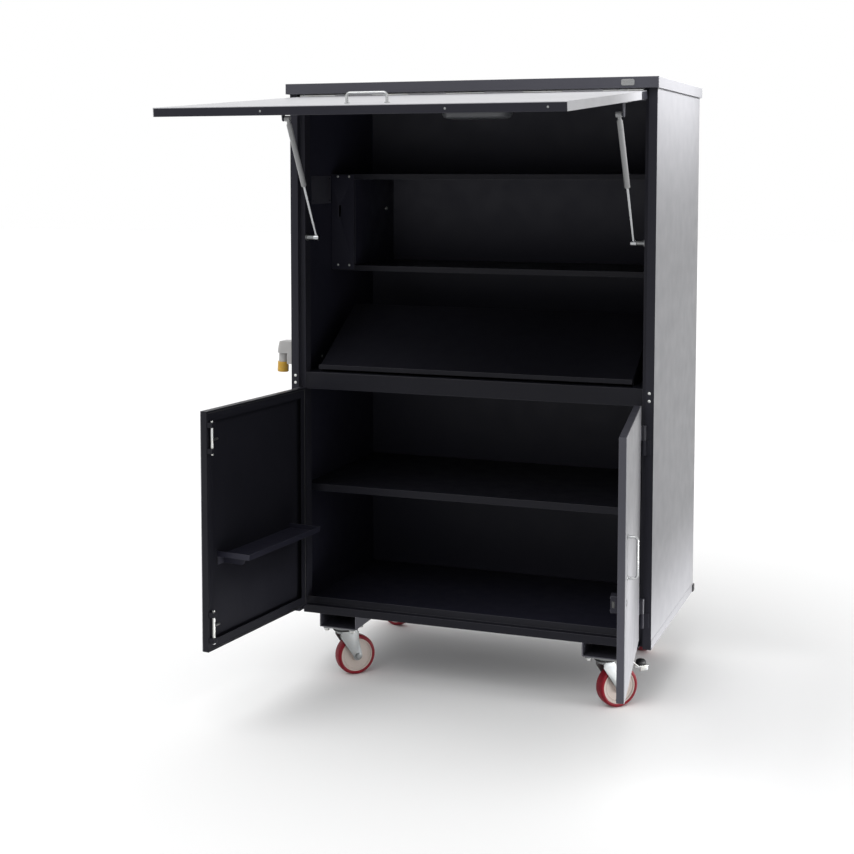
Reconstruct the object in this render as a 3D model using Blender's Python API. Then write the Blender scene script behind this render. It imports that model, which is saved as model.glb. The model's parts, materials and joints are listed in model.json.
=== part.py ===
"""Site storage cabinet on castors, with a lift-up flap over a plan desk and two lower doors.

Metres, +Z up, the front faces -Y. The origin is the middle of the floor pan's underside.
"""

import math

import bmesh
import bpy
from mathutils import Matrix, Vector

# Carcass
BODY_WIDTH = 1.125
BODY_DEPTH = 0.665
BODY_HEIGHT = 1.597
SHEET = 0.002
GAP = 0.0003
REAR_RETURN = 0.020
CAP_HEIGHT = 0.031
CAP_SIDE_OVERHANG = 0.0065
CAP_FRONT_OVERHANG = 0.018
BADGE_WIDTH = 0.038
BADGE_HEIGHT = 0.018
BADGE_THICKNESS = 0.0015
BADGE_CORNER = 0.005
BADGE_FROM_SIDE = 0.0805
ROOF_CLEAR = 0.003

# Front frame
STILE_FACE = 0.024
STILE_WIDTH = 0.0375
REBATE = 0.024
STILE_RETURN = 0.038
RAIL_TOP = 0.748
RAIL_HEIGHT = 0.051
HEAD_LANDING = 0.034
SILL_FACE = 0.024
SILL_LANDING = 0.021
SILL_FLANGE = 0.012
FLOOR_THICKNESS = 0.003

# Shelves, desk and service column
SHELF_FRONT = 0.300
UPPER_SHELF_DROP = 0.241
LAPTOP_SHELF_RISE = 0.3145
SHELF_LIP = 0.017
SHELF_HEM = 0.010
LOWER_SHELF_FRONT = 0.095
LOWER_SHELF_TOP = 0.385
LOWER_SHELF_LIP = 0.022
BOARD_FROM_SIDE = 0.0725
BOARD_CHEEK_BACK = 0.020
BOARD_FRONT = 0.044
BOARD_LIFT = 0.010
BOARD_LIP = 0.012
BOARD_LENGTH = 0.340
BOARD_SLOPE = math.radians(31.0)
COLUMN_WIDTH = 0.079
COLUMN_FLANGE = 0.014
COLUMN_RIB = 0.004
COLUMN_RIB_AT = 0.150
COVER_OVERLAP = 0.014
COVER_SLOT_WIDTH = 0.007
COVER_SLOT_HEIGHT = 0.036
COVER_SLOT_DROP = 0.1165
COVER_SLOT_ASIDE = 0.010

# Lamp and power inlet
LAMP_LENGTH = 0.222
LAMP_WIDTH = 0.100
LAMP_BASE = 0.016
LAMP_DROP = 0.054
LAMP_CORNER = 0.045
LAMP_FROM_FRONT = 0.110
INLET_FROM_FRONT = 0.045
INLET_WIDTH = 0.048
INLET_BOTTOM = 0.770
INLET_HEIGHT = 0.070
INLET_HEAD = 0.037
INLET_DEPTH = 0.0625
INLET_TOP_DEPTH = 0.050
INLET_BOX_DEPTH = 0.025
INLET_CORNER = 0.018
INLET_SEAT_RISE = 0.004
INLET_SOCKET_FLOOR = 0.022
COLLAR_NECK = 0.0135
COLLAR_RADIUS = 0.0149
COLLAR_WALL = 0.0025
COLLAR_LENGTH = 0.0608
COLLAR_TILT = math.radians(2.6)
COLLAR_OFFSET = 0.0471
SLEEVE_RADIUS = 0.0165
SLEEVE_START = 0.0325
SLEEVE_TAPER = 0.0008
COVER_DEPTH = 0.012
COVER_WALL = 0.0018
COVER_TOP = 0.003
COVER_EDGE = 0.0015
PINHOLE = 0.0005
LID_HINGE_TURN = math.radians(-90.0)
LID_HINGE_OUT = 0.005
LID_HINGE_UP = 0.0018
LID_LUG_AT = 0.006
LID_LUG = 0.003
LID_LUG_OUT = 0.0035
LID_LUG_IN = 0.0086
LID_LUG_FOOT = 0.014
LID_LUG_STEP = 0.003
LID_LUG_NECK = 0.0025
LID_LUG_HEAD = 0.005
LID_BARREL = 0.0024
LID_STRAP_LOW = 0.0006
LID_STRAP_HIGH = 0.0024
LID_STRAP_INSET = 0.002

# Skids and castors
SKID_WIDTH = 0.121
SKID_HEIGHT = 0.046
SKID_WALL = 0.003
SKID_FROM_SIDE = 0.1455
SKID_INSET = 0.015
SKID_SEAT = 0.001
CASTOR_INSET = 0.062
CASTOR_PLATE_X = 0.105
CASTOR_PLATE_Y = 0.085
CASTOR_PLATE_THICKNESS = 0.004
CASTOR_PLATE_CORNER = 0.008
SWIVEL_RADIUS = 0.031
SWIVEL_HEIGHT = 0.012
CASTOR_HEIGHT = 0.160
WHEEL_RADIUS = 0.0625
WHEEL_WIDTH = 0.036
WHEEL_TRAIL = 0.038
AXLE_RADIUS = 0.006
AXLE_PLAY = 0.0004
FORK_INSIDE = 0.042
FORK_SHEET = 0.004
FORK_TIP = 0.015
FORK_LEAD = 0.005
FORK_LEAD_DROP = 0.012
FORK_TRAIL = 0.001
FORK_TRAIL_DROP = 0.022
AXLE_END = 0.007
AXLE_NUT_HEIGHT = 0.006
AXLE_NUT_RADIUS = 0.0095
HUB_RADIUS = 0.017
HUB_FOOT = 0.020
HUB_PROUD = 0.002
WEB_DEPTH = 0.005
RIM_INSIDE = 0.014
RIM_EDGE = 0.011
RIM_STEP = 0.001
TYRE_SHOULDER = 0.006
TYRE_ROUND = 0.002
TYRE_ROUND_IN = 0.003
TYRE_CROWN_IN = 0.009
CASTOR_YAW = {
    "front_left": math.radians(45.0),
    "front_right": math.radians(43.0),
    "rear_left": math.radians(160.0),
    "rear_right": math.radians(110.0),
}
BRAKED = "front_right"
CROWN_FRONT = 0.024
CROWN_REAR = 0.042
CROWN_THICKNESS = 0.006
CROWN_CORNER = 0.012
BRAKE_BARREL = 0.0042
BRAKE_HALF = 0.0165
BRAKE_EAR = 0.003
BRAKE_EAR_ROOT = 0.008
BRAKE_SHEET = 0.003
BRAKE_NECK = 0.012
BRAKE_KNEE = 0.030
BRAKE_STEP = 0.056
BRAKE_DROP = 0.0273
BRAKE_REACH = 0.088
BRAKE_CHEEK = 0.0137
BRAKE_CHEEK_START = 0.062
BRAKE_PAD_LENGTH = 0.031
BRAKE_PAD_HEIGHT = 0.015
BRAKE_PAD_SIDE = 0.0045
BRAKE_PAD_ROUND = 0.009
BRAKE_PAD_CORNER = 0.0135
BRAKE_PAD_INSET = 0.0015
BRAKE_PAD_FOOT = 0.001

# Flap and its gas struts
FLAP_SIDE_INSET = 0.0275
FLAP_RAIL_OVERLAP = 0.0245
FLAP_THICKNESS = 0.0230
FLAP_OPEN = math.radians(85.7)
FLAP_AXIS_FRONT = 0.005
FLAP_AXIS_DROP = 0.0055
FLAP_SKIN_OFFSET = 0.0025
FLAP_TOP_CLEAR = 0.006
FLAP_PAN_CLEAR = 0.014
FLAP_LIP = 0.022
KNUCKLE_RADIUS = 0.0045
KNUCKLE_COUNT = 9
KNUCKLE_GAP = 0.001
FLAP_LEAF_SHEET = 0.0012
FLAP_LEAF_CLEAR = 0.002
FLAP_TAB_STEP = 0.0006
CURL_BACK = 0.001
CURL_REACH = 0.004
HANDLE_SPAN = 0.106
HANDLE_RISE = 0.025
HANDLE_RADIUS = 0.0036
HANDLE_BEND = 0.009
FLAP_HANDLE_FROM_EDGE = 0.110
STRUT_FROM_SIDE = 0.0705
STRUT_STUD_ALONG = 0.168
STRUT_STUD_IN = 0.0605
STRUT_FOOT_FRONT = 0.036
STRUT_FOOT_DROP = 0.4344
STRUT_CYLINDER_RADIUS = 0.008
STRUT_CYLINDER_LENGTH = 0.229
STRUT_ROD_RADIUS = 0.004
STRUT_ROD_INSIDE = 0.022
STRUT_BORE_PLAY = 0.0006
SOCKET_RADIUS = 0.0085
SOCKET_HALF = 0.008
STUD_RADIUS = 0.0045
STUD_TIP = 0.004
STUD_FLANGE_RADIUS = 0.011
STUD_FLANGE = 0.003
STUD_NECK_RADIUS = 0.007
STUD_NECK_CLEAR = 0.001
SOCKET_FLOOR = 0.0035
BRACKET_SHEET = 0.003
BRACKET_STANDOFF = 0.004
BRACKET_HALF = 0.013
BRACKET_NECK = 0.0075
BRACKET_NECK_IN = 0.005
BRACKET_TIP = 0.0085
BRACKET_SIDE_CLEAR = 0.002
STRUT_EDGE = 0.0015
STRUT_HEAD = 0.020
STRUT_TAPER = 0.008
STRUT_TAPER_END = 0.014
STRUT_PINHOLE = 0.0004

# Lower doors
DOOR_AXIS_FROM_SIDE = 0.0255
DOOR_AXIS_FRONT = 0.007
DOOR_FACE_OFFSET = 0.008
DOOR_HINGE_EDGE = 0.002
DOOR_MEETING_GAP = 0.004
DOOR_BOTTOM = 0.027
DOOR_TOP_OVERLAP = 0.008
DOOR_THICKNESS = 0.021
DOOR_LIP = 0.030
LEFT_DOOR_OPEN = math.radians(96.5)
RIGHT_DOOR_OPEN = math.radians(98.3)
HINGE_HEIGHT = 0.085
HINGE_RADIUS = 0.0065
HINGE_PIN_RADIUS = 0.0035
HINGE_PIN_PLAY = 0.0005
HINGE_LEAF = 0.019
HINGE_LEAF_THICKNESS = 0.003
LOWER_HINGE_RISE = 0.080
UPPER_HINGE_DROP = 0.099
HINGE_PIN_ROOT = 0.010
HINGE_LEAF_START = 0.0012
HINGE_LEAF_CLEAR = 0.001
HINGE_LEAF_PROUD = 0.0006
BOLT_RADIUS = 0.0045
BOLT_LENGTH = 0.095
BOLT_FROM_EDGE = 0.014
BOLT_STANDOFF = 0.009
BOLT_PLAY = 0.0005
TOP_BOLT_DROP = 0.122
BOTTOM_BOLT_RISE = 0.022
TOP_BOLT_KNOB = 0.042
BOTTOM_BOLT_KNOB = 0.052
BOLT_GUIDE_INSET = 0.004
BOLT_GUIDE_OUT = 0.011
BOLT_GUIDE_WALL = 0.003
BOLT_GUIDE_HEIGHT = 0.014
BOLT_GUIDE_WIDTH = 0.018
BOLT_KNOB_LENGTH = 0.026
BOLT_KNOB_RADIUS = 0.0035
TRAY_START = 0.075
TRAY_FROM_EDGE = 0.070
GUSSET_INSET = 0.030
GUSSET_NOSE = 0.030
GUSSET_DROP = 0.020
GUSSET_FOOT = 0.044
GUSSET_KNEE = 0.034
TRAY_DEPTH = 0.090
TRAY_Z = 0.284
TRAY_LIP = 0.014
TRAY_TAB = 0.026
DOOR_HANDLE_FROM_EDGE = 0.052
DOOR_HANDLE_Z = 0.390
LOCK_Z = 0.279
LOCK_HEIGHT = 0.043
LOCK_WIDTH = 0.034
LOCK_DEPTH = 0.017
LOCK_FROM_EDGE = 0.004
LOCK_BOLT_HEIGHT = 0.016
LOCK_BOLT_THICKNESS = 0.007
LOCK_BOLT_LENGTH = 0.030
LOCK_BOLT_BACK = 0.001
LOCK_BOLT_ASIDE = 0.0015

FRONT = -BODY_DEPTH / 2
BACK = BODY_DEPTH / 2
HALF = BODY_WIDTH / 2
TOP = BODY_HEIGHT + CAP_HEIGHT
LINER_OUT = HALF - SHEET - GAP
LINER_IN = LINER_OUT - SHEET
LINER_BACK = BACK - SHEET - GAP - SHEET
CEILING = BODY_HEIGHT - ROOF_CLEAR - SHEET
OPENING = HALF - STILE_WIDTH
REBATE_X = HALF - STILE_FACE
BADGE_X = HALF - BADGE_FROM_SIDE
BOARD_HALF = HALF - BOARD_FROM_SIDE
SKID_CENTRE = HALF - SKID_FROM_SIDE
STRUT_X = HALF - STRUT_FROM_SIDE
STRUT_FOOT_Z = BODY_HEIGHT - STRUT_FOOT_DROP
UPPER_SHELF_TOP = BODY_HEIGHT - UPPER_SHELF_DROP
LAPTOP_SHELF_TOP = RAIL_TOP + LAPTOP_SHELF_RISE
DOOR_AXIS_X = HALF - DOOR_AXIS_FROM_SIDE
DOOR_WIDTH = DOOR_AXIS_X - DOOR_MEETING_GAP / 2
DOOR_TOP = RAIL_TOP - RAIL_HEIGHT + DOOR_TOP_OVERLAP
HINGE_CENTRES = (DOOR_BOTTOM + LOWER_HINGE_RISE, DOOR_TOP - UPPER_HINGE_DROP)
TRAY_END = DOOR_WIDTH - TRAY_FROM_EDGE
FLAP_AXIS_Z = BODY_HEIGHT - FLAP_AXIS_DROP
FLAP_AXIS = Vector((0.0, FRONT - FLAP_AXIS_FRONT, FLAP_AXIS_Z))
FLAP_HALF = HALF - FLAP_SIDE_INSET
FLAP_LENGTH = FLAP_AXIS_Z - RAIL_TOP + FLAP_RAIL_OVERLAP


def clear_scene():
    """Remove every object of the startup scene."""
    for obj in list(bpy.data.objects):
        bpy.data.objects.remove(obj, do_unlink=True)


def paint(name, colour, roughness, metallic=0.0):
    """Make a plain surface of one colour."""
    material = bpy.data.materials.new(name)
    material.use_nodes = True
    surface = material.node_tree.nodes["Principled BSDF"]
    surface.inputs["Base Color"].default_value = (*colour, 1.0)
    surface.inputs["Roughness"].default_value = roughness
    surface.inputs["Metallic"].default_value = metallic
    material.diffuse_color = (*colour, 1.0)
    return material


def pivot(name, position, parent=None, turn=0.0, axis="Z"):
    """Add an empty on a joint axis, turned to the rest pose."""
    empty = bpy.data.objects.new(name, None)
    bpy.context.scene.collection.objects.link(empty)
    empty.parent = parent
    empty.matrix_basis = Matrix.Translation(position) @ Matrix.Rotation(turn, 4, axis)
    return empty


def solid(name, verts, faces, material=None, parent=None, smooth=False):
    """Make an object of one closed body with its faces turned outward."""
    mesh = bpy.data.meshes.new(name)
    mesh.from_pydata([tuple(v) for v in verts], [], faces)
    shell = bmesh.new()
    shell.from_mesh(mesh)
    bmesh.ops.remove_doubles(shell, verts=shell.verts, dist=1e-7)
    bmesh.ops.recalc_face_normals(shell, faces=shell.faces)
    shell.to_mesh(mesh)
    shell.free()
    obj = bpy.data.objects.new(name, mesh)
    bpy.context.scene.collection.objects.link(obj)
    obj.parent = parent
    if material:
        mesh.materials.append(material)
    if smooth:
        mesh.shade_smooth()
        mesh.set_sharp_from_angle(angle=math.radians(35.0))
    return obj


def spread(axis, along, first, second):
    """Order one coordinate along an axis and two across it as x, y, z."""
    if axis == "X":
        return (along, first, second)
    if axis == "Y":
        return (first, along, second)
    return (first, second, along)


def rings(name, loops, cyclic=False, **options):
    """Join loops of equal length into one skin, capped at both ends unless it closes on itself."""
    count = len(loops[0])
    verts = [point for loop in loops for point in loop]
    faces = []
    pairs = len(loops) if cyclic else len(loops) - 1
    for i in range(pairs):
        j = (i + 1) % len(loops)
        for k in range(count):
            m = (k + 1) % count
            faces.append((i * count + k, i * count + m, j * count + m, j * count + k))
    if not cyclic:
        faces.append(tuple(range(count)))
        faces.append(tuple((len(loops) - 1) * count + k for k in range(count)))
    return solid(name, verts, faces, **options)


def prism(name, outline, axis, start, end, **options):
    """Extrude an outline along an axis."""
    low = [spread(axis, start, *point) for point in outline]
    high = [spread(axis, end, *point) for point in outline]
    return rings(name, [low, high], **options)


def box(name, low, high, **options):
    """A block between two corners."""
    outline = [(low[0], low[1]), (high[0], low[1]), (high[0], high[1]), (low[0], high[1])]
    return prism(name, outline, "Z", low[2], high[2], **options)


def rectangle(axis, along, u0, u1, v0, v1):
    """A rectangle across an axis."""
    corners = ((u0, v0), (u1, v0), (u1, v1), (u0, v1))
    return [spread(axis, along, u, v) for u, v in corners]


def circle(radius, steps, centre=(0.0, 0.0)):
    """Points of a circle in its own plane."""
    turns = [2 * math.pi * k / steps for k in range(steps)]
    return [(centre[0] + radius * math.cos(t), centre[1] + radius * math.sin(t)) for t in turns]


def rounded(half_u, half_v, corner, steps=5, centre=(0.0, 0.0)):
    """A rectangle with rounded corners."""
    points = []
    for quarter, (su, sv) in enumerate(((1, 1), (-1, 1), (-1, -1), (1, -1))):
        for k in range(steps + 1):
            turn = (quarter + k / steps) * math.pi / 2
            u = su * (half_u - corner) + corner * math.cos(turn)
            v = sv * (half_v - corner) + corner * math.sin(turn)
            points.append((centre[0] + u, centre[1] + v))
    return points


def rod(name, axis, centre, radius, start, end, steps=20, **options):
    """A round bar along an axis."""
    return prism(name, circle(radius, steps, centre), axis, start, end, smooth=True, **options)


def turned(name, profile, axis, centre=(0.0, 0.0), steps=24, **options):
    """Turn a closed profile of radius and distance about an axis."""
    loops = []
    for radius, along in profile:
        loops.append([spread(axis, along, *p) for p in circle(radius, steps, centre)])
    return rings(name, loops, cyclic=True, smooth=True, **options)


def folded(points, thickness=SHEET):
    """The outline of a strip of sheet folded along a line of points, the line being its middle."""
    line = [Vector(p) for p in points]
    normals = []
    for a, b in zip(line, line[1:]):
        run = (b - a).normalized()
        normals.append(Vector((-run.y, run.x)))
    left, right = [], []
    for k, point in enumerate(line):
        before = normals[max(k - 1, 0)]
        after = normals[min(k, len(normals) - 1)]
        mitre = (before + after) / (1.0 + before.dot(after)) * thickness / 2
        left.append(tuple(point + mitre))
        right.append(tuple(point - mitre))
    return left + right[::-1]


def swept(name, path, radius, steps=12, **options):
    """A round bar bent along a path that lies in one plane."""
    points = [Vector(p) for p in path]
    plane = (points[1] - points[0]).cross(points[-1] - points[0]).normalized()
    loops = []
    for k, point in enumerate(points):
        run = (points[min(k + 1, len(points) - 1)] - points[max(k - 1, 0)]).normalized()
        side = plane.cross(run)
        loops.append([point + radius * (math.cos(t) * side + math.sin(t) * plane)
                      for t in (2 * math.pi * j / steps for j in range(steps))])
    return rings(name, loops, smooth=True, **options)


def combine(obj, others, operation="UNION"):
    """Join other solids to one, or cut them from it, in the frame they share, and remove them."""
    parent = obj.parent
    obj.parent = None
    for other in others:
        other.parent = None
        step = obj.modifiers.new("combine", "BOOLEAN")
        step.operation = operation
        step.solver = "EXACT"
        step.object = other
    bpy.context.view_layer.update()
    graph = bpy.context.evaluated_depsgraph_get()
    made = bpy.data.meshes.new_from_object(obj.evaluated_get(graph))
    obj.modifiers.clear()
    old = obj.data
    obj.data = made
    bpy.data.meshes.remove(old)
    made.name = obj.name
    obj.parent = parent
    for other in others:
        bpy.data.objects.remove(other, do_unlink=True)
    return obj


def pan(name, x0, x1, z0, z1, y0, y1, lip, **options):
    """A folded inner pan across Y: a floor on the outer side, four walls and an inward lip."""
    wall = SHEET
    loops = [
        rectangle("Y", y0, x0, x1, z0, z1),
        rectangle("Y", y1, x0, x1, z0, z1),
        rectangle("Y", y1, x0 + lip, x1 - lip, z0 + lip, z1 - lip),
        rectangle("Y", y1 - wall, x0 + lip, x1 - lip, z0 + lip, z1 - lip),
        rectangle("Y", y1 - wall, x0 + wall, x1 - wall, z0 + wall, z1 - wall),
        rectangle("Y", y0 + wall, x0 + wall, x1 - wall, z0 + wall, z1 - wall),
    ]
    return rings(name, loops, **options)


def handle_path(span, rise, bend, steps=5):
    """The line of a D handle in its own plane, along the first axis and out along the second."""
    points = [(-span / 2, 0.0)]
    for side, start in ((-1, math.pi), (1, math.pi / 2)):
        centre = (side * (span / 2 - bend), rise - bend)
        for k in range(steps + 1):
            turn = start - k / steps * math.pi / 2
            points.append((centre[0] + bend * math.cos(turn), centre[1] + bend * math.sin(turn)))
    points.append((span / 2, 0.0))
    return points


clear_scene()

SILVER = paint("silver_paint", (0.60, 0.61, 0.63), 0.45)
CHARCOAL = paint("charcoal_paint", (0.075, 0.078, 0.088), 0.5)
ZINC = paint("zinc_plate", (0.62, 0.63, 0.64), 0.35, 0.9)
STEEL = paint("bright_steel", (0.72, 0.72, 0.72), 0.3, 0.9)
STRUT_GREY = paint("strut_paint", (0.32, 0.33, 0.34), 0.4)
PALE = paint("pale_plastic", (0.66, 0.67, 0.66), 0.5)
YELLOW = paint("yellow_plastic", (0.80, 0.60, 0.05), 0.45)
BLACK = paint("black_plastic", (0.03, 0.03, 0.032), 0.55)
LENS = paint("diffuser", (0.80, 0.81, 0.82), 0.4)
RED = paint("red_tyre", (0.45, 0.03, 0.05), 0.5)


def build_skins():
    """Outer side panels, back panel, roof cap, fascia and badge plate."""
    top = TOP - SHEET - GAP
    for name, side in (("left_side_panel", -1), ("right_side_panel", 1)):
        outline = folded([
            (side * (HALF - SHEET / 2), FRONT + SHEET + GAP),
            (side * (HALF - SHEET / 2), BACK - SHEET / 2),
            (side * (HALF - REAR_RETURN), BACK - SHEET / 2),
        ])
        prism(name, outline, "Z", 0.0, top, material=SILVER)
    edge = HALF - REAR_RETURN - GAP
    box("back_panel", (-edge, BACK - SHEET, 0.0), (edge, BACK, top), material=SILVER)

    wide = HALF + CAP_SIDE_OVERHANG
    back = BACK + CAP_SIDE_OVERHANG
    front = FRONT - CAP_FRONT_OVERHANG + SHEET + GAP
    cap = box("roof_cap", (-wide, front, BODY_HEIGHT), (wide, back, TOP), material=SILVER)
    hollow = box("cap_hollow", (-wide + SHEET, front - SHEET, BODY_HEIGHT - SHEET),
                 (wide - SHEET, back - SHEET, TOP - SHEET))
    combine(cap, [hollow], "DIFFERENCE")

    face = FRONT - CAP_FRONT_OVERHANG
    landing = FRONT + REBATE + SHEET / 2
    under = BODY_HEIGHT + SHEET / 2
    fascia = prism("top_fascia", folded([
        (face + SHEET / 2, TOP),
        (face + SHEET / 2, under),
        (FRONT + SHEET, under),
    ]), "X", -wide, wide, material=CHARCOAL)
    notch = [box("fascia_end", (side * (wide - SHEET - GAP), face + SHEET, BODY_HEIGHT - SHEET),
                 (side * (wide + SHEET), FRONT + 2 * SHEET, TOP + SHEET)) for side in (-1, 1)]
    combine(fascia, notch, "DIFFERENCE")
    head = prism("fascia_head", folded([
        (FRONT, under),
        (landing, under),
        (landing, BODY_HEIGHT - HEAD_LANDING),
    ]), "X", -OPENING + GAP, OPENING - GAP)
    combine(fascia, [head])

    centre = (BADGE_X, BODY_HEIGHT + CAP_HEIGHT / 2)
    outline = rounded(BADGE_WIDTH / 2, BADGE_HEIGHT / 2, BADGE_CORNER, 3, centre)
    prism("badge_plate", outline, "Y", face - GAP - BADGE_THICKNESS, face - GAP, material=STEEL)


def hinge_halves(side, fixed):
    """One half of both hinges of a door, to weld to the stile or, closed at the axis, to the door."""
    made = []
    for centre in HINGE_CENTRES:
        low = centre - HINGE_HEIGHT / 2
        middle = centre - GAP / 2
        if fixed:
            x, y = side * DOOR_AXIS_X, FRONT - DOOR_AXIS_FRONT
            pin_top = centre + HINGE_HEIGHT * 0.42
            made.append(rod("knuckle", "Z", (x, y), HINGE_RADIUS, low, middle))
            made.append(rod("pin", "Z", (x, y), HINGE_PIN_RADIUS, low + HINGE_PIN_ROOT, pin_top, 16))
            x0, x1 = sorted((x + side * HINGE_LEAF_START, x + side * HINGE_LEAF))
            made.append(box("leaf", (x0, FRONT - HINGE_LEAF_THICKNESS, low + HINGE_LEAF_CLEAR),
                            (x1, FRONT + SHEET / 2, middle - HINGE_LEAF_CLEAR)))
        else:
            start, end = middle + GAP, centre + HINGE_HEIGHT / 2
            bore = HINGE_PIN_RADIUS + HINGE_PIN_PLAY
            profile = [(bore, start), (HINGE_RADIUS, start), (HINGE_RADIUS, end), (bore, end)]
            made.append(turned("knuckle", profile, "Z", steps=20))
            x0, x1 = sorted((side * HINGE_LEAF_START, -side * HINGE_LEAF))
            leaf_face = DOOR_FACE_OFFSET - HINGE_LEAF_THICKNESS - HINGE_LEAF_PROUD
            made.append(box("leaf", (x0, leaf_face, start + HINGE_LEAF_CLEAR),
                            (x1, DOOR_FACE_OFFSET + SHEET / 2, end - HINGE_LEAF_CLEAR)))
    return made


def build_frame():
    """Front stiles with the fixed hinge halves, middle deck with its rail, sill, floor pan and liner."""
    face = FRONT + SHEET / 2
    landing = FRONT + REBATE + SHEET / 2
    rear = FRONT + REBATE + STILE_RETURN
    for name, side in (("left_stile", -1), ("right_stile", 1)):
        outline = folded([
            (side * HALF, face),
            (side * (REBATE_X + SHEET / 2), face),
            (side * (REBATE_X + SHEET / 2), landing),
            (side * (OPENING + SHEET / 2), landing),
            (side * (OPENING + SHEET / 2), rear),
            (side * (LINER_IN - GAP), rear),
        ])
        stile = prism(name, outline, "Z", 0.0, BODY_HEIGHT - GAP, material=CHARCOAL)
        combine(stile, hinge_halves(side, True))

    inside = OPENING - GAP
    deck_back = LINER_BACK - GAP
    deck = prism("middle_deck", folded([
        (landing, RAIL_TOP - RAIL_HEIGHT),
        (landing, RAIL_TOP - SHEET / 2),
        (deck_back, RAIL_TOP - SHEET / 2),
    ]), "X", -inside, inside, material=CHARCOAL)
    wing_front = rear + SHEET / 2 + GAP
    reach = LINER_IN - GAP
    wings = []
    for side in (-1, 1):
        start, end = sorted((side * (inside - SHEET), side * reach))
        wings.append(box("deck_wing", (start, wing_front, RAIL_TOP - SHEET), (end, deck_back, RAIL_TOP)))
    combine(deck, wings)

    prism("sill", folded([
        (FRONT + SILL_FLANGE, SHEET / 2),
        (face, SHEET / 2),
        (face, SILL_FACE - SHEET / 2),
        (landing, SILL_FACE - SHEET / 2),
        (landing, SILL_FACE + SILL_LANDING),
    ]), "X", -inside, inside, material=CHARCOAL)

    seat = SKID_WIDTH / 2 + GAP
    reach = LINER_OUT
    outline = [(-reach, 0.0)]
    for centre in (-SKID_CENTRE, SKID_CENTRE):
        start, end = centre - seat, centre + seat
        outline += [(start, 0.0), (start, SKID_SEAT), (end, SKID_SEAT), (end, 0.0)]
    outline += [(reach, 0.0), (reach, FLOOR_THICKNESS), (-reach, FLOOR_THICKNESS)]
    floor = prism("floor_pan", outline, "Y", FRONT + SILL_FLANGE + GAP, BACK - SHEET - GAP, material=CHARCOAL)
    corner = rear + SHEET / 2 + GAP
    cuts = []
    for side in (-1, 1):
        start, end = sorted((side * (OPENING - GAP), side * HALF))
        cuts.append(box("stile_foot", (start, FRONT, -SHEET), (end, corner, FLOOR_THICKNESS + SHEET)))
    combine(floor, cuts, "DIFFERENCE")

    base = FLOOR_THICKNESS + GAP
    liner = box("inner_liner", (-LINER_OUT, FRONT + REBATE + SHEET + GAP, base),
                (LINER_OUT, LINER_BACK + SHEET, CEILING + SHEET), material=CHARCOAL)
    room = box("room", (-LINER_IN, FRONT, 0.0), (LINER_IN, LINER_BACK, CEILING))
    combine(liner, [room], "DIFFERENCE")
    corners = []
    for side in (-1, 1):
        start, end = sorted((side * (OPENING - GAP), side * HALF))
        corners.append(box("stile_top", (start, FRONT, 0.0), (end, corner, TOP)))
    combine(liner, corners, "DIFFERENCE")


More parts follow.
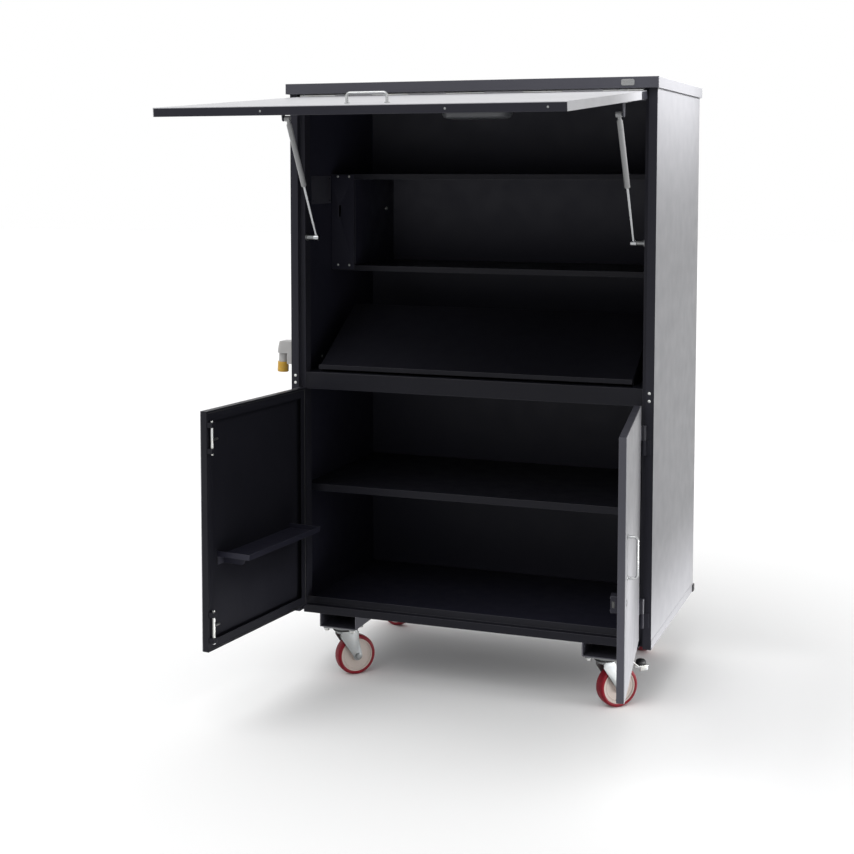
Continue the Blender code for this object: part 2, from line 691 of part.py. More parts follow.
def build_inside():
    """Shelves, drawing board, service column and ceiling lamp."""
    reach = LINER_IN - GAP
    rear = LINER_BACK - GAP
    front = FRONT + SHELF_FRONT
    for name, start, top, lip in (
        ("upper_shelf", front, UPPER_SHELF_TOP, SHELF_LIP),
        ("laptop_shelf", front, LAPTOP_SHELF_TOP, SHELF_LIP),
        ("lower_shelf", FRONT + LOWER_SHELF_FRONT, LOWER_SHELF_TOP, LOWER_SHELF_LIP),
    ):
        prism(name, folded([
            (rear, top - SHEET / 2),
            (start + SHEET / 2, top - SHEET / 2),
            (start + SHEET / 2, top - lip + SHEET / 2),
            (start + SHELF_HEM, top - lip + SHEET / 2),
        ]), "X", -reach, reach, material=CHARCOAL)

    y0, z0 = FRONT + BOARD_FRONT, RAIL_TOP + BOARD_LIFT
    y1 = y0 + BOARD_LENGTH * math.cos(BOARD_SLOPE)
    z1 = z0 + BOARD_LENGTH * math.sin(BOARD_SLOPE)
    foot = RAIL_TOP + GAP
    board = prism("drawing_board", folded([
        (y0, z0 + BOARD_LIP),
        (y0, z0),
        (y1, z1),
        (y1, foot),
    ]), "X", -BOARD_HALF, BOARD_HALF, material=CHARCOAL)
    cheek_start = y0 + BOARD_CHEEK_BACK
    rise = (cheek_start - y0) * math.tan(BOARD_SLOPE)
    cheek = [(cheek_start, foot), (y1, foot), (y1, z1), (cheek_start, z0 + rise)]
    cheeks = []
    for side in (-1, 1):
        start, end = sorted((side * BOARD_HALF, side * (BOARD_HALF - SHEET)))
        cheeks.append(prism("cheek", cheek, "X", start, end))
    combine(board, cheeks)

    low, high = LAPTOP_SHELF_TOP + GAP, UPPER_SHELF_TOP - SHEET - GAP
    inner = -LINER_IN + COLUMN_WIDTH
    wall = inner + SHEET / 2
    prism("service_column", folded([
        (wall - COLUMN_FLANGE, front + SHELF_HEM + GAP + SHEET),
        (wall, front + SHELF_HEM + GAP + SHEET),
        (wall, front + COLUMN_RIB_AT),
        (wall - COLUMN_RIB, front + COLUMN_RIB_AT + COLUMN_RIB),
        (wall - COLUMN_RIB, rear),
    ]), "Z", low, high, material=CHARCOAL)

    face = front - GAP
    left, right = -LINER_IN + GAP + SHEET, inner + SHEET
    cover = box("service_cover", (left, face - SHEET, LAPTOP_SHELF_TOP - COVER_OVERLAP),
                (right, face, UPPER_SHELF_TOP - SHEET), material=CHARCOAL)
    middle = (left + right) / 2 - COVER_SLOT_ASIDE
    slot_low = UPPER_SHELF_TOP - SHEET - COVER_SLOT_DROP - COVER_SLOT_HEIGHT / 2
    slot = box("slot", (middle - COVER_SLOT_WIDTH / 2, face - 2 * SHEET, slot_low),
               (middle + COVER_SLOT_WIDTH / 2, face + SHEET, slot_low + COVER_SLOT_HEIGHT))
    combine(cover, [slot], "DIFFERENCE")

    y = FRONT + LAMP_FROM_FRONT
    base_top = CEILING - GAP
    outline = rounded(LAMP_LENGTH / 2, LAMP_WIDTH / 2, LAMP_CORNER, 6, (0.0, y))
    prism("lamp_base", outline, "Z", base_top - LAMP_BASE, base_top, material=PALE, smooth=True)
    top = base_top - LAMP_BASE - GAP
    steps = ((0.0, 0.003), (0.75, 0.004), (0.92, 0.009), (1.0, 0.018))
    loops = []
    for share, inset in steps:
        outline = rounded(LAMP_LENGTH / 2 - inset, LAMP_WIDTH / 2 - inset, LAMP_CORNER - inset, 6, (0.0, y))
        loops.append([spread("Z", top - share * LAMP_DROP, *point) for point in outline])
    rings("lamp_diffuser", loops, material=LENS, smooth=True)


def build_inlet():
    """Power inlet on the left side: a moulded housing with a sleeve turned down, and its hinged cover."""
    x = -HALF - GAP
    y = FRONT + INLET_FROM_FRONT
    top = INLET_BOTTOM + INLET_HEIGHT
    head_low = top - INLET_HEAD
    outline = [
        (x, INLET_BOTTOM),
        (x, top),
        (x - INLET_TOP_DEPTH, top),
        (x - INLET_DEPTH, head_low),
        (x - INLET_BOX_DEPTH, head_low),
        (x - INLET_BOX_DEPTH, INLET_BOTTOM),
    ]
    housing = prism("inlet_housing", outline, "Y", y - INLET_WIDTH, y + INLET_WIDTH, material=PALE)
    centre = (x - (INLET_DEPTH - INLET_CORNER) / 2, y)
    plan = rounded((INLET_DEPTH + INLET_CORNER) / 2, INLET_WIDTH / 2, INLET_CORNER, 4, centre)
    combine(housing, [prism("plan", plan, "Z", INLET_BOTTOM - SHEET, top + SHEET)], "INTERSECT")

    seat = Vector((x - COLLAR_OFFSET, y, head_low + INLET_SEAT_RISE))
    down = Matrix.Rotation(math.pi + COLLAR_TILT, 4, "Y")
    frame = Matrix.Translation(seat) @ down @ Matrix.Rotation(LID_HINGE_TURN, 4, "Z")
    inner = COLLAR_RADIUS - COLLAR_WALL
    end = COLLAR_LENGTH
    sleeve_end = end - COVER_DEPTH - GAP
    collar = turned("collar", [
        (PINHOLE, 0.0),
        (COLLAR_NECK, 0.0),
        (COLLAR_NECK + SLEEVE_TAPER, SLEEVE_START),
        (SLEEVE_RADIUS, SLEEVE_START),
        (SLEEVE_RADIUS, sleeve_end),
        (COLLAR_RADIUS, sleeve_end),
        (COLLAR_RADIUS, end),
        (inner, end),
        (inner, INLET_SOCKET_FLOOR),
        (PINHOLE, INLET_SOCKET_FLOOR),
    ], "Z", steps=20)
    collar.data.transform(frame)
    reach = COLLAR_RADIUS + LID_HINGE_OUT
    lug_side = [
        (-reach - LID_LUG_OUT, end - LID_LUG_FOOT),
        (-reach + LID_LUG_IN, end - LID_LUG_FOOT),
        (-reach + LID_LUG_IN, end - LID_LUG_STEP),
        (-reach + LID_LUG_NECK, end - LID_LUG_STEP),
        (-reach + LID_LUG_NECK, end + LID_LUG_HEAD),
        (-reach - LID_LUG_OUT, end + LID_LUG_HEAD),
    ]
    lugs = []
    for low, high in ((-LID_LUG_AT - LID_LUG, -LID_LUG_AT), (LID_LUG_AT, LID_LUG_AT + LID_LUG)):
        lug = prism("lug", lug_side, "Y", low, high)
        lug.data.transform(frame)
        lugs.append(lug)
    combine(housing, [collar] + lugs)

    hinge = pivot("inlet_cover_axis", frame @ Vector((-reach, 0.0, end + LID_HINGE_UP)))
    cover_frame = Matrix.Translation(-hinge.matrix_basis.translation) @ frame
    outer = COLLAR_RADIUS + GAP + COVER_WALL
    skirt = COLLAR_RADIUS + GAP
    start = end - COVER_DEPTH
    cap = end + GAP
    cover = turned("inlet_cover", [
        (PINHOLE, cap),
        (skirt, cap),
        (skirt, start),
        (outer, start),
        (outer, cap + COVER_EDGE),
        (outer - COVER_EDGE, cap + COVER_TOP),
        (PINHOLE, cap + COVER_TOP),
    ], "Z", steps=20, material=YELLOW, parent=hinge)
    wide = 2 * COLLAR_RADIUS
    clear = box("clear", (-wide, -wide, 0.0), (-GAP, wide, cap), parent=hinge)
    combine(cover, [clear], "DIFFERENCE")
    barrel_half = LID_LUG_AT - GAP
    barrel = rod("barrel", "Y", (-reach, end + LID_HINGE_UP), LID_BARREL, -barrel_half, barrel_half, 14,
                 parent=hinge)
    strap_half = LID_LUG_AT - LID_STRAP_INSET
    strap = box("strap", (-reach, -strap_half, cap + LID_STRAP_LOW),
                (-COLLAR_RADIUS * 0.7, strap_half, cap + LID_STRAP_HIGH), parent=hinge)
    combine(cover, [barrel, strap])
    cover.data.transform(cover_frame)


def build_skids():
    """Hollow skids that take fork tines, and the four castors bolted under them."""
    for name, side in (("left_skid", -1), ("right_skid", 1)):
        x0, x1 = side * SKID_CENTRE - SKID_WIDTH / 2, side * SKID_CENTRE + SKID_WIDTH / 2
        y0, y1 = FRONT + SKID_INSET, BACK - SKID_INSET
        z0, z1 = -SKID_HEIGHT, SKID_SEAT - GAP
        w = SKID_WALL
        rings(name, [
            rectangle("Y", y0, x0, x1, z0, z1),
            rectangle("Y", y1, x0, x1, z0, z1),
            rectangle("Y", y1, x0 + w, x1 - w, z0 + w, z1 - w),
            rectangle("Y", y0, x0 + w, x1 - w, z0 + w, z1 - w),
        ], cyclic=True, material=CHARCOAL)
    for name, yaw in CASTOR_YAW.items():
        x = -SKID_CENTRE if "left" in name else SKID_CENTRE
        y = FRONT + CASTOR_INSET if "front" in name else BACK - CASTOR_INSET
        build_castor(name, x, y, yaw)


def build_castor(name, x, y, yaw):
    """One swivel castor: top plate, fork with its axle, wheel and, on the braked one, a lever."""
    top = -SKID_HEIGHT - GAP
    plate_low = top - CASTOR_PLATE_THICKNESS
    outline = rounded(CASTOR_PLATE_X / 2, CASTOR_PLATE_Y / 2, CASTOR_PLATE_CORNER, 3, (x, y))
    plate = prism(f"{name}_castor_plate", outline, "Z", plate_low, top, material=ZINC)
    cup = rod("cup", "Z", (x, y), SWIVEL_RADIUS, plate_low - SWIVEL_HEIGHT, plate_low + SHEET / 2, 28)
    combine(plate, [cup])

    swivel = pivot(f"{name}_swivel", (x, y, 0.0), turn=yaw)
    crown_top = plate_low - SWIVEL_HEIGHT - GAP
    axle_z = top - CASTOR_HEIGHT + WHEEL_RADIUS
    crown_low = crown_top - CROWN_THICKNESS
    inside = FORK_INSIDE / 2
    outside = inside + FORK_SHEET
    middle = (CROWN_REAR - CROWN_FRONT) / 2
    crown = rounded((CROWN_REAR + CROWN_FRONT) / 2, outside, CROWN_CORNER, 4, (middle, 0.0))
    fork = prism(f"{name}_fork", crown, "Z", crown_low, crown_top, material=ZINC, parent=swivel)
    turns = [math.pi * (1 + k / 8) for k in range(9)]
    tip = [(WHEEL_TRAIL + FORK_TIP * math.cos(t), axle_z + FORK_TIP * math.sin(t)) for t in turns]
    lead, trail = -CROWN_FRONT + FORK_LEAD, CROWN_REAR - FORK_TRAIL
    leg = [(lead, crown_low + SHEET), (lead, crown_low - FORK_LEAD_DROP)] + tip + [
        (trail, crown_low - FORK_TRAIL_DROP), (trail, crown_low + SHEET)]
    parts = []
    for low, high in ((-outside, -inside), (inside, outside)):
        parts.append(prism("leg", leg, "Y", low, high, parent=swivel))
    place = (WHEEL_TRAIL, axle_z)
    axle_half = outside + AXLE_END
    parts.append(rod("axle", "Y", place, AXLE_RADIUS, -axle_half, axle_half, 16, parent=swivel))
    for low, high in ((-outside - AXLE_NUT_HEIGHT, -outside + SHEET / 2),
                      (outside - SHEET / 2, outside + AXLE_NUT_HEIGHT)):
        parts.append(rod("nut", "Y", place, AXLE_NUT_RADIUS, low, high, 6, parent=swivel))
    if name == BRAKED:
        ear = BRAKE_HALF + GAP
        end = CROWN_REAR + 2 * BRAKE_BARREL + GAP
        for low, high in ((-ear - BRAKE_EAR, -ear), (ear, ear + BRAKE_EAR)):
            parts.append(box("ear", (CROWN_REAR - BRAKE_EAR_ROOT, low, crown_low - SHEET),
                             (end, high, crown_top - SHEET), parent=swivel))
    combine(fork, parts)

    axle = pivot(f"{name}_axle", (WHEEL_TRAIL, 0.0, axle_z), parent=swivel)
    half = WHEEL_WIDTH / 2
    r = WHEEL_RADIUS
    bore = AXLE_RADIUS + AXLE_PLAY
    side_a = [
        (bore, -half - HUB_PROUD),
        (HUB_RADIUS, -half - HUB_PROUD),
        (HUB_FOOT, -half + WEB_DEPTH),
        (r - RIM_INSIDE, -half + WEB_DEPTH),
        (r - RIM_EDGE, -half + RIM_STEP),
        (r - TYRE_SHOULDER, -half),
        (r - TYRE_ROUND, -half + TYRE_ROUND_IN),
        (r, -half + TYRE_CROWN_IN),
    ]
    profile = side_a + [(radius, -along) for radius, along in side_a[::-1]]
    turned(f"{name}_wheel", profile, "Y", steps=28, material=RED, parent=axle)

    if name == BRAKED:
        build_brake(name, swivel, crown_low)


def build_brake(name, swivel, crown_low):
    """The lever on the fork that a foot presses to lock the castor, and the pad on its end."""
    seat = (CROWN_REAR + GAP + BRAKE_BARREL, 0.0, crown_low + BRAKE_BARREL)
    hinge = pivot(f"{name}_brake_axis", seat, parent=swivel)
    half = BRAKE_HALF
    tip = BRAKE_REACH
    outline = folded([
        (0.0, 0.0),
        (BRAKE_NECK, -BRAKE_BARREL),
        (BRAKE_KNEE, -BRAKE_BARREL),
        (BRAKE_STEP, -BRAKE_DROP),
        (tip, -BRAKE_DROP),
    ], BRAKE_SHEET)
    arm = prism(f"{name}_brake_lever", outline, "Y", -half, half, material=ZINC, parent=hinge)
    parts = [rod("barrel", "Y", (0.0, 0.0), BRAKE_BARREL, -half, half, 16, parent=hinge)]
    cheek_low = -BRAKE_DROP - BRAKE_CHEEK
    cheek_high = -BRAKE_DROP + BRAKE_SHEET / 4
    for low, high in ((-half, -half + BRAKE_SHEET), (half - BRAKE_SHEET, half)):
        parts.append(box("cheek", (BRAKE_CHEEK_START, low, cheek_low), (tip, high, cheek_high), parent=hinge))
    combine(arm, parts)
    low = -BRAKE_DROP + BRAKE_SHEET / 2 + GAP
    middle = (tip - BRAKE_PAD_LENGTH / 2, 0.0)
    dome = BRAKE_PAD_HEIGHT - BRAKE_PAD_SIDE
    heights = [(0.0, BRAKE_PAD_FOOT)]
    for turn in (k / 3 * math.pi / 2 for k in range(4)):
        heights.append((BRAKE_PAD_SIDE + dome * math.sin(turn), BRAKE_PAD_ROUND * (1 - math.cos(turn))))
    loops = []
    for height, inset in heights:
        plan = rounded(BRAKE_PAD_LENGTH / 2 - inset, half - BRAKE_PAD_INSET - inset, BRAKE_PAD_CORNER - inset,
                       4, middle)
        loops.append([spread("Z", low + height, *point) for point in plan])
    rings(f"{name}_brake_pad", loops, material=BLACK, parent=hinge, smooth=True)


def build_flap():
    """Lift-up flap: outer skin on its rolled hinge, inner pan, handle and strut brackets."""
    axis = pivot("flap_axis", FLAP_AXIS, turn=-FLAP_OPEN, axis="X")
    y0 = FLAP_SKIN_OFFSET
    y1 = y0 + FLAP_THICKNESS
    half = FLAP_HALF
    low, high = -FLAP_LENGTH, -FLAP_TOP_CLEAR
    outline = [(-half, y1), (-half, y0), (half, y0), (half, y1), (half - SHEET, y1),
               (half - SHEET, y0 + SHEET), (-half + SHEET, y0 + SHEET), (-half + SHEET, y1)]
    skin = prism("flap_skin", outline, "Z", low, high, material=SILVER, parent=axis)
    run = 2 * (OPENING - GAP) / KNUCKLE_COUNT
    bore = KNUCKLE_RADIUS * 0.5
    moving = []
    fixed = []
    for k in range(KNUCKLE_COUNT):
        start = -OPENING + GAP + k * run + KNUCKLE_GAP / 2
        end = start + run - KNUCKLE_GAP
        if k % 2:
            wide = bore + AXLE_PLAY
            profile = [(wide, start), (KNUCKLE_RADIUS, start), (KNUCKLE_RADIUS, end), (wide, end)]
            moving.append(turned("knuckle", profile, "X", steps=16, parent=axis))
            tab_face = y0 + FLAP_TAB_STEP
            moving.append(box("tab", (start, tab_face, high - SHEET), (end, y0 + SHEET, 0.0), parent=axis))
        else:
            fixed.append((start, end))
    combine(skin, moving)

    x, y, z = FLAP_AXIS
    hinge = rod("flap_hinge", "X", (y, z), bore, -OPENING + 2 * GAP, OPENING - 2 * GAP, 16, material=ZINC)
    leaf_top = BODY_HEIGHT - GAP
    leaf_low = leaf_top - FLAP_LEAF_SHEET
    parts = [box("leaf", (-OPENING + 2 * GAP, y + KNUCKLE_RADIUS + FLAP_LEAF_CLEAR, leaf_low),
                 (OPENING - 2 * GAP, FRONT + REBATE - GAP, leaf_top))]
    for start, end in fixed:
        parts.append(rod("knuckle", "X", (y, z), KNUCKLE_RADIUS, start, end, 16))
        curl_end = y + KNUCKLE_RADIUS + CURL_REACH
        parts.append(box("curl", (start, y - CURL_BACK, leaf_low), (end, curl_end, leaf_top)))
    combine(hinge, parts)

    inner = half - SHEET - GAP
    pan("flap_pan", -inner, inner, low, -FLAP_PAN_CLEAR, y0 + SHEET + GAP, y1, FLAP_LIP,
        material=CHARCOAL, parent=axis)

    handle_z = low + FLAP_HANDLE_FROM_EDGE
    path = [(u, y0 - GAP - v, handle_z) for u, v in handle_path(HANDLE_SPAN, HANDLE_RISE, HANDLE_BEND)]
    swept("flap_handle", path, HANDLE_RADIUS, material=ZINC, parent=axis)

    for name, side in (("left_strut", -1), ("right_strut", 1)):
        build_strut(name, side, axis, y1)


def build_strut(name, side, axis, flap_inside):
    """A gas strut between the stile and the flap, with the stud and the bracket that carry it."""
    socket_out = STRUT_X + SOCKET_HALF
    face = socket_out + GAP
    stud_y, stud_z = STRUT_STUD_IN, -STRUT_STUD_ALONG
    plate = BRACKET_SHEET
    arm = [
        (flap_inside + GAP, stud_z - BRACKET_HALF),
        (stud_y + BRACKET_NECK_IN, stud_z - BRACKET_NECK),
        (stud_y + BRACKET_TIP, stud_z),
        (stud_y + BRACKET_NECK_IN, stud_z + BRACKET_NECK),
        (flap_inside + GAP, stud_z + BRACKET_HALF),
    ]
    arm_face = face + BRACKET_STANDOFF
    arm_x = sorted((side * arm_face, side * (arm_face + plate)))
    bracket = prism(f"{name}_bracket", arm, "X", *arm_x, material=CHARCOAL, parent=axis)
    base_x = sorted((side * arm_face, side * (OPENING - BRACKET_SIDE_CLEAR)))
    base = box("base", (base_x[0], flap_inside + GAP, stud_z - BRACKET_HALF),
               (base_x[1], flap_inside + GAP + plate, stud_z + BRACKET_HALF), parent=axis)
    pin_x = sorted((side * face, side * (arm_face + plate / 2)))
    pin = rod("pin", "X", (stud_y, stud_z), STUD_RADIUS, *pin_x, 16, parent=axis)
    combine(bracket, [base, pin])

    foot = Vector((side * STRUT_X, FRONT + STRUT_FOOT_FRONT, STRUT_FOOT_Z))
    wall_x = OPENING - GAP
    pin_end = STRUT_X - SOCKET_HALF + STUD_TIP
    place = (foot.y, foot.z)
    stud_x = sorted((side * pin_end, side * (wall_x - SHEET)))
    stud = rod(f"{name}_stud", "X", place, STUD_RADIUS, *stud_x, 16, material=ZINC)
    flange_x = sorted((side * (wall_x - STUD_FLANGE), side * wall_x))
    flange = rod("flange", "X", place, STUD_FLANGE_RADIUS, *flange_x, 20)
    neck_x = sorted((side * (socket_out + STUD_NECK_CLEAR), side * (wall_x - SHEET)))
    neck = rod("neck", "X", place, STUD_NECK_RADIUS, *neck_x, 16)
    combine(stud, [flange, neck])

    turn = Matrix.Rotation(-FLAP_OPEN, 4, "X")
    head = FLAP_AXIS + turn @ Vector((0.0, stud_y, stud_z))
    run = Vector((0.0, head.y - foot.y, head.z - foot.z))
    length = run.length
    lean = math.atan2(-run.y, run.z)
    joint = pivot(f"{name}_foot", foot, turn=lean, axis="X")
    rod_end = length - STRUT_CYLINDER_LENGTH + STRUT_ROD_INSIDE
    bar = rod(f"{name}_rod", "Z", (0.0, 0.0), STRUT_ROD_RADIUS, SOCKET_RADIUS * 0.5, rod_end, 16,
              material=STEEL, parent=joint)
    shell = rod("shell", "X", (0.0, 0.0), SOCKET_RADIUS, -SOCKET_HALF, SOCKET_HALF, 20, parent=joint)
    combine(bar, [shell])
    bore_x = sorted((side * (-SOCKET_HALF + SOCKET_FLOOR), side * (SOCKET_HALF + SHEET)))
    bore = rod("bore", "X", (0.0, 0.0), STUD_RADIUS + STRUT_BORE_PLAY, *bore_x, 20, parent=joint)
    combine(bar, [bore], "DIFFERENCE")

    slide = pivot(f"{name}_slide", (0.0, 0.0, length), parent=joint)
    wide = STRUT_CYLINDER_RADIUS
    hole = STRUT_ROD_RADIUS + STRUT_BORE_PLAY
    low = -STRUT_CYLINDER_LENGTH
    deep = -SOCKET_RADIUS - STRUT_HEAD
    neck_end = -SOCKET_RADIUS * 0.5
    cylinder = turned(f"{name}_cylinder", [
        (hole, low),
        (wide - STRUT_EDGE, low),
        (wide, low + STRUT_EDGE),
        (wide, deep + STRUT_TAPER),
        (wide * 0.6, deep + STRUT_TAPER_END),
        (wide * 0.6, neck_end),
        (STRUT_PINHOLE, neck_end),
        (STRUT_PINHOLE, deep),
        (hole, deep),
    ], "Z", steps=20, material=STRUT_GREY, parent=slide)
    cap = rod("cap", "X", (0.0, 0.0), SOCKET_RADIUS, -SOCKET_HALF, SOCKET_HALF, 20, parent=slide)
    combine(cylinder, [cap])


def build_door(name, side, turn):
    """Skin and inner pan of one lower door. Returns its axis, the pan and how far the inner face is in."""
    axis = pivot(f"{name}_axis", (side * DOOR_AXIS_X, FRONT - DOOR_AXIS_FRONT, 0.0), turn=turn)
    y0 = DOOR_FACE_OFFSET
    y1 = y0 + DOOR_THICKNESS
    x0, x1 = sorted((-side * DOOR_HINGE_EDGE, -side * DOOR_WIDTH))
    skin = box(f"{name}_skin", (x0, y0, DOOR_BOTTOM), (x1, y0 + SHEET, DOOR_TOP),
               material=SILVER, parent=axis)
    halves = hinge_halves(side, False)
    for half in halves:
        half.parent = axis
    combine(skin, halves)
    inner = pan(f"{name}_pan", x0, x1, DOOR_BOTTOM, DOOR_TOP, y0 + SHEET + GAP, y1, DOOR_LIP,
                material=CHARCOAL, parent=axis)
    return axis, inner, y1


def build_left_door():
    """Left door with its tray and the two slide bolts that hold it shut."""
    axis, inner, face = build_door("left_door", -1, -LEFT_DOOR_OPEN)
    x = DOOR_WIDTH - BOLT_FROM_EDGE
    y = face + BOLT_STANDOFF
    guides = []
    holes = []
    for name, low, knob_at in (
        ("top_slide_bolt", DOOR_TOP - TOP_BOLT_DROP, TOP_BOLT_KNOB),
        ("bottom_slide_bolt", DOOR_BOTTOM + BOTTOM_BOLT_RISE, BOTTOM_BOLT_KNOB),
    ):
        slide = pivot(f"{name}_slide", (x, y, low), parent=axis)
        bolt = rod(name, "Z", (0.0, 0.0), BOLT_RADIUS, 0.0, BOLT_LENGTH, 16, material=ZINC, parent=slide)
        knob = rod("knob", "X", (0.0, knob_at), BOLT_KNOB_RADIUS, -BOLT_KNOB_LENGTH, 0.0, 14, parent=slide)
        combine(bolt, [knob])
        guide_face = y + BOLT_RADIUS + BOLT_GUIDE_WALL
        for at in (BOLT_GUIDE_INSET, BOLT_LENGTH - BOLT_GUIDE_INSET - BOLT_GUIDE_HEIGHT):
            guides.append(box("guide", (x - BOLT_GUIDE_WIDTH / 2, face - SHEET / 2, low + at),
                              (x + BOLT_GUIDE_OUT, guide_face, low + at + BOLT_GUIDE_HEIGHT), parent=axis))
            holes.append(rod("hole", "Z", (x, y), BOLT_RADIUS + BOLT_PLAY, low + at - SHEET,
                             low + at + BOLT_GUIDE_HEIGHT + SHEET, 16, parent=axis))
    combine(inner, guides)
    combine(inner, holes, "DIFFERENCE")

    floor = face - DOOR_THICKNESS + SHEET + GAP + SHEET + GAP
    outer = face + TRAY_DEPTH
    tray = prism("door_tray", folded([
        (floor + SHEET / 2, TRAY_Z - TRAY_TAB),
        (floor + SHEET / 2, TRAY_Z - SHEET / 2),
        (outer, TRAY_Z - SHEET / 2),
        (outer, TRAY_Z + TRAY_LIP),
    ]), "X", TRAY_START, TRAY_END, material=CHARCOAL, parent=axis)
    gusset = [
        (floor + SHEET / 2, TRAY_Z - TRAY_TAB),
        (floor + SHEET / 2, TRAY_Z - SHEET / 2),
        (outer - GUSSET_NOSE, TRAY_Z - SHEET / 2),
        (outer - GUSSET_KNEE, TRAY_Z - GUSSET_DROP),
        (outer - GUSSET_FOOT, TRAY_Z - TRAY_TAB),
    ]
    gussets = [prism("gusset", gusset, "X", at, at + SHEET, parent=axis)
               for at in (TRAY_START + GUSSET_INSET, TRAY_END - GUSSET_INSET - SHEET)]
    ends = [box("end", (at, floor, TRAY_Z - SHEET), (at + SHEET, outer, TRAY_Z + TRAY_LIP), parent=axis)
            for at in (TRAY_START, TRAY_END - SHEET)]
    combine(tray, gussets + ends)


def build_right_door():
    """Right door with its handle, lock case and lock bolt."""
    axis, inner, face = build_door("right_door", 1, RIGHT_DOOR_OPEN)
    x = -DOOR_WIDTH + DOOR_HANDLE_FROM_EDGE
    outside = DOOR_FACE_OFFSET - GAP
    path = [(x, outside - v, DOOR_HANDLE_Z + u)
            for u, v in handle_path(HANDLE_SPAN, HANDLE_RISE, HANDLE_BEND)]
    swept("right_door_handle", path, HANDLE_RADIUS, material=ZINC, parent=axis)

    left = -DOOR_WIDTH + LOCK_FROM_EDGE
    back = face + GAP
    case = box("lock_case", (left, back, LOCK_Z - LOCK_HEIGHT / 2),
               (left + LOCK_WIDTH, back + LOCK_DEPTH, LOCK_Z + LOCK_HEIGHT / 2), material=CHARCOAL, parent=axis)
    middle = back + LOCK_DEPTH / 2 + LOCK_BOLT_ASIDE
    thick, tall = LOCK_BOLT_THICKNESS / 2, LOCK_BOLT_HEIGHT / 2
    wide, high = thick + BOLT_PLAY, tall + BOLT_PLAY
    slot = box("slot", (left - SHEET, middle - wide, LOCK_Z - high),
               (left + LOCK_BOLT_LENGTH + GAP, middle + wide, LOCK_Z + high), parent=axis)
    combine(case, [slot], "DIFFERENCE")
    slide = pivot("lock_bolt_slide", (left, middle, LOCK_Z), parent=axis)
    box("lock_bolt", (0.0, -thick, -tall), (LOCK_BOLT_LENGTH - LOCK_BOLT_BACK, thick, tall),
        material=STEEL, parent=slide)


build_skins()
build_frame()
build_inside()
build_inlet()
build_skids()
build_flap()
build_left_door()
build_right_door()
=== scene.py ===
"""Finishes, small hardware, studio and camera of a steel site storage cabinet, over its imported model."""

import json
import logging
import math
from abc import ABC, abstractmethod
from collections.abc import Callable, Iterable, Sequence
from dataclasses import dataclass
from enum import Enum
from functools import cache

import bmesh
import bpy
from bpy.types import ID, Material, Node, NodeSocket, NodeTree, Object
from mathutils import Matrix, Vector


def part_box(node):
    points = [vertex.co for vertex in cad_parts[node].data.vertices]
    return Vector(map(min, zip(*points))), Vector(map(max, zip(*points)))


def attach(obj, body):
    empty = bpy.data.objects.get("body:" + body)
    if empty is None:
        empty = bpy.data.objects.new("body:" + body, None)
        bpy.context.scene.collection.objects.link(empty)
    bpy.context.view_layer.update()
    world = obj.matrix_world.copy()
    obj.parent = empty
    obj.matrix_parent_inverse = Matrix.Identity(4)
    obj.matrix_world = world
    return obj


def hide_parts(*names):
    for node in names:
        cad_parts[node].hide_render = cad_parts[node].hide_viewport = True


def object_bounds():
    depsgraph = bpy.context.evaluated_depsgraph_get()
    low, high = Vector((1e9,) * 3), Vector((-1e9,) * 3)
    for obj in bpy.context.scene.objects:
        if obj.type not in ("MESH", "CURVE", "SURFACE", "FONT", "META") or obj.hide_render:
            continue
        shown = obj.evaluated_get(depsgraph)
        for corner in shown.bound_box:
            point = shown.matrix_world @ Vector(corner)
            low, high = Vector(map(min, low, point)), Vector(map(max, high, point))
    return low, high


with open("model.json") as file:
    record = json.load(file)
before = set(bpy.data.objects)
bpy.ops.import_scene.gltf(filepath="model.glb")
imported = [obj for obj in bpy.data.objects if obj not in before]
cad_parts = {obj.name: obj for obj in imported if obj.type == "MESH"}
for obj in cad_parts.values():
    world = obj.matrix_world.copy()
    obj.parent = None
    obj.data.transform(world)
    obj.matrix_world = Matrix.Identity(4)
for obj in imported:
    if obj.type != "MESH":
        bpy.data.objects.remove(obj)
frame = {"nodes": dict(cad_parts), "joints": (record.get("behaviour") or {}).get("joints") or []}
CAD_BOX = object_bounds()

LOG = logging.getLogger("cabinet")
MM_PER_METRE = 1000.0
FULL_TURN = 2.0 * math.pi
QUARTER_TURN = math.pi / 2
MERGE = 2e-5
FLAT_ANGLE = math.radians(0.6)
SHARP_ANGLE = math.radians(26.0)
NODE_EDGE_ANGLE = math.radians(40.0)
SLAB_EDGE_ANGLE = math.radians(30.0)
SAME_WAY = 0.9
FACE_INDEX, EDGE_HIGHLIGHT_INDEX, SHADE_INDEX = 0, 1, 2
NOISE_LOW, NOISE_HIGH = 0.3, 0.7
WAVE_UNITS = 20.0
WHITE = (1.0, 1.0, 1.0, 1.0)
AHEAD = Vector((0.0, -1.0, 0.0))
BEHIND = Vector((0.0, 1.0, 0.0))
LEFTWARD = Vector((-1.0, 0.0, 0.0))
RIGHTWARD = Vector((1.0, 0.0, 0.0))
DOWNWARD = Vector((0.0, 0.0, -1.0))

Point = tuple[float, float]
Outline = Sequence[Point]


class Slot(Enum):
    """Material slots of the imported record."""

    SILVER = "silver_paint"
    CHARCOAL = "charcoal_paint"
    ZINC = "zinc_plate"
    STEEL = "bright_steel"
    STRUT = "strut_paint"
    PALE = "pale_plastic"
    YELLOW = "yellow_plastic"
    BLACK = "black_plastic"
    LENS = "diffuser"
    TYRE = "red_tyre"


class Side(Enum):
    """Which half of the cabinet a paired piece belongs to, with the sign of its X."""

    LEFT = -1
    RIGHT = 1

    @property
    def word(self) -> str:
        """The side as it stands in node and body names."""
        return self.name.lower()


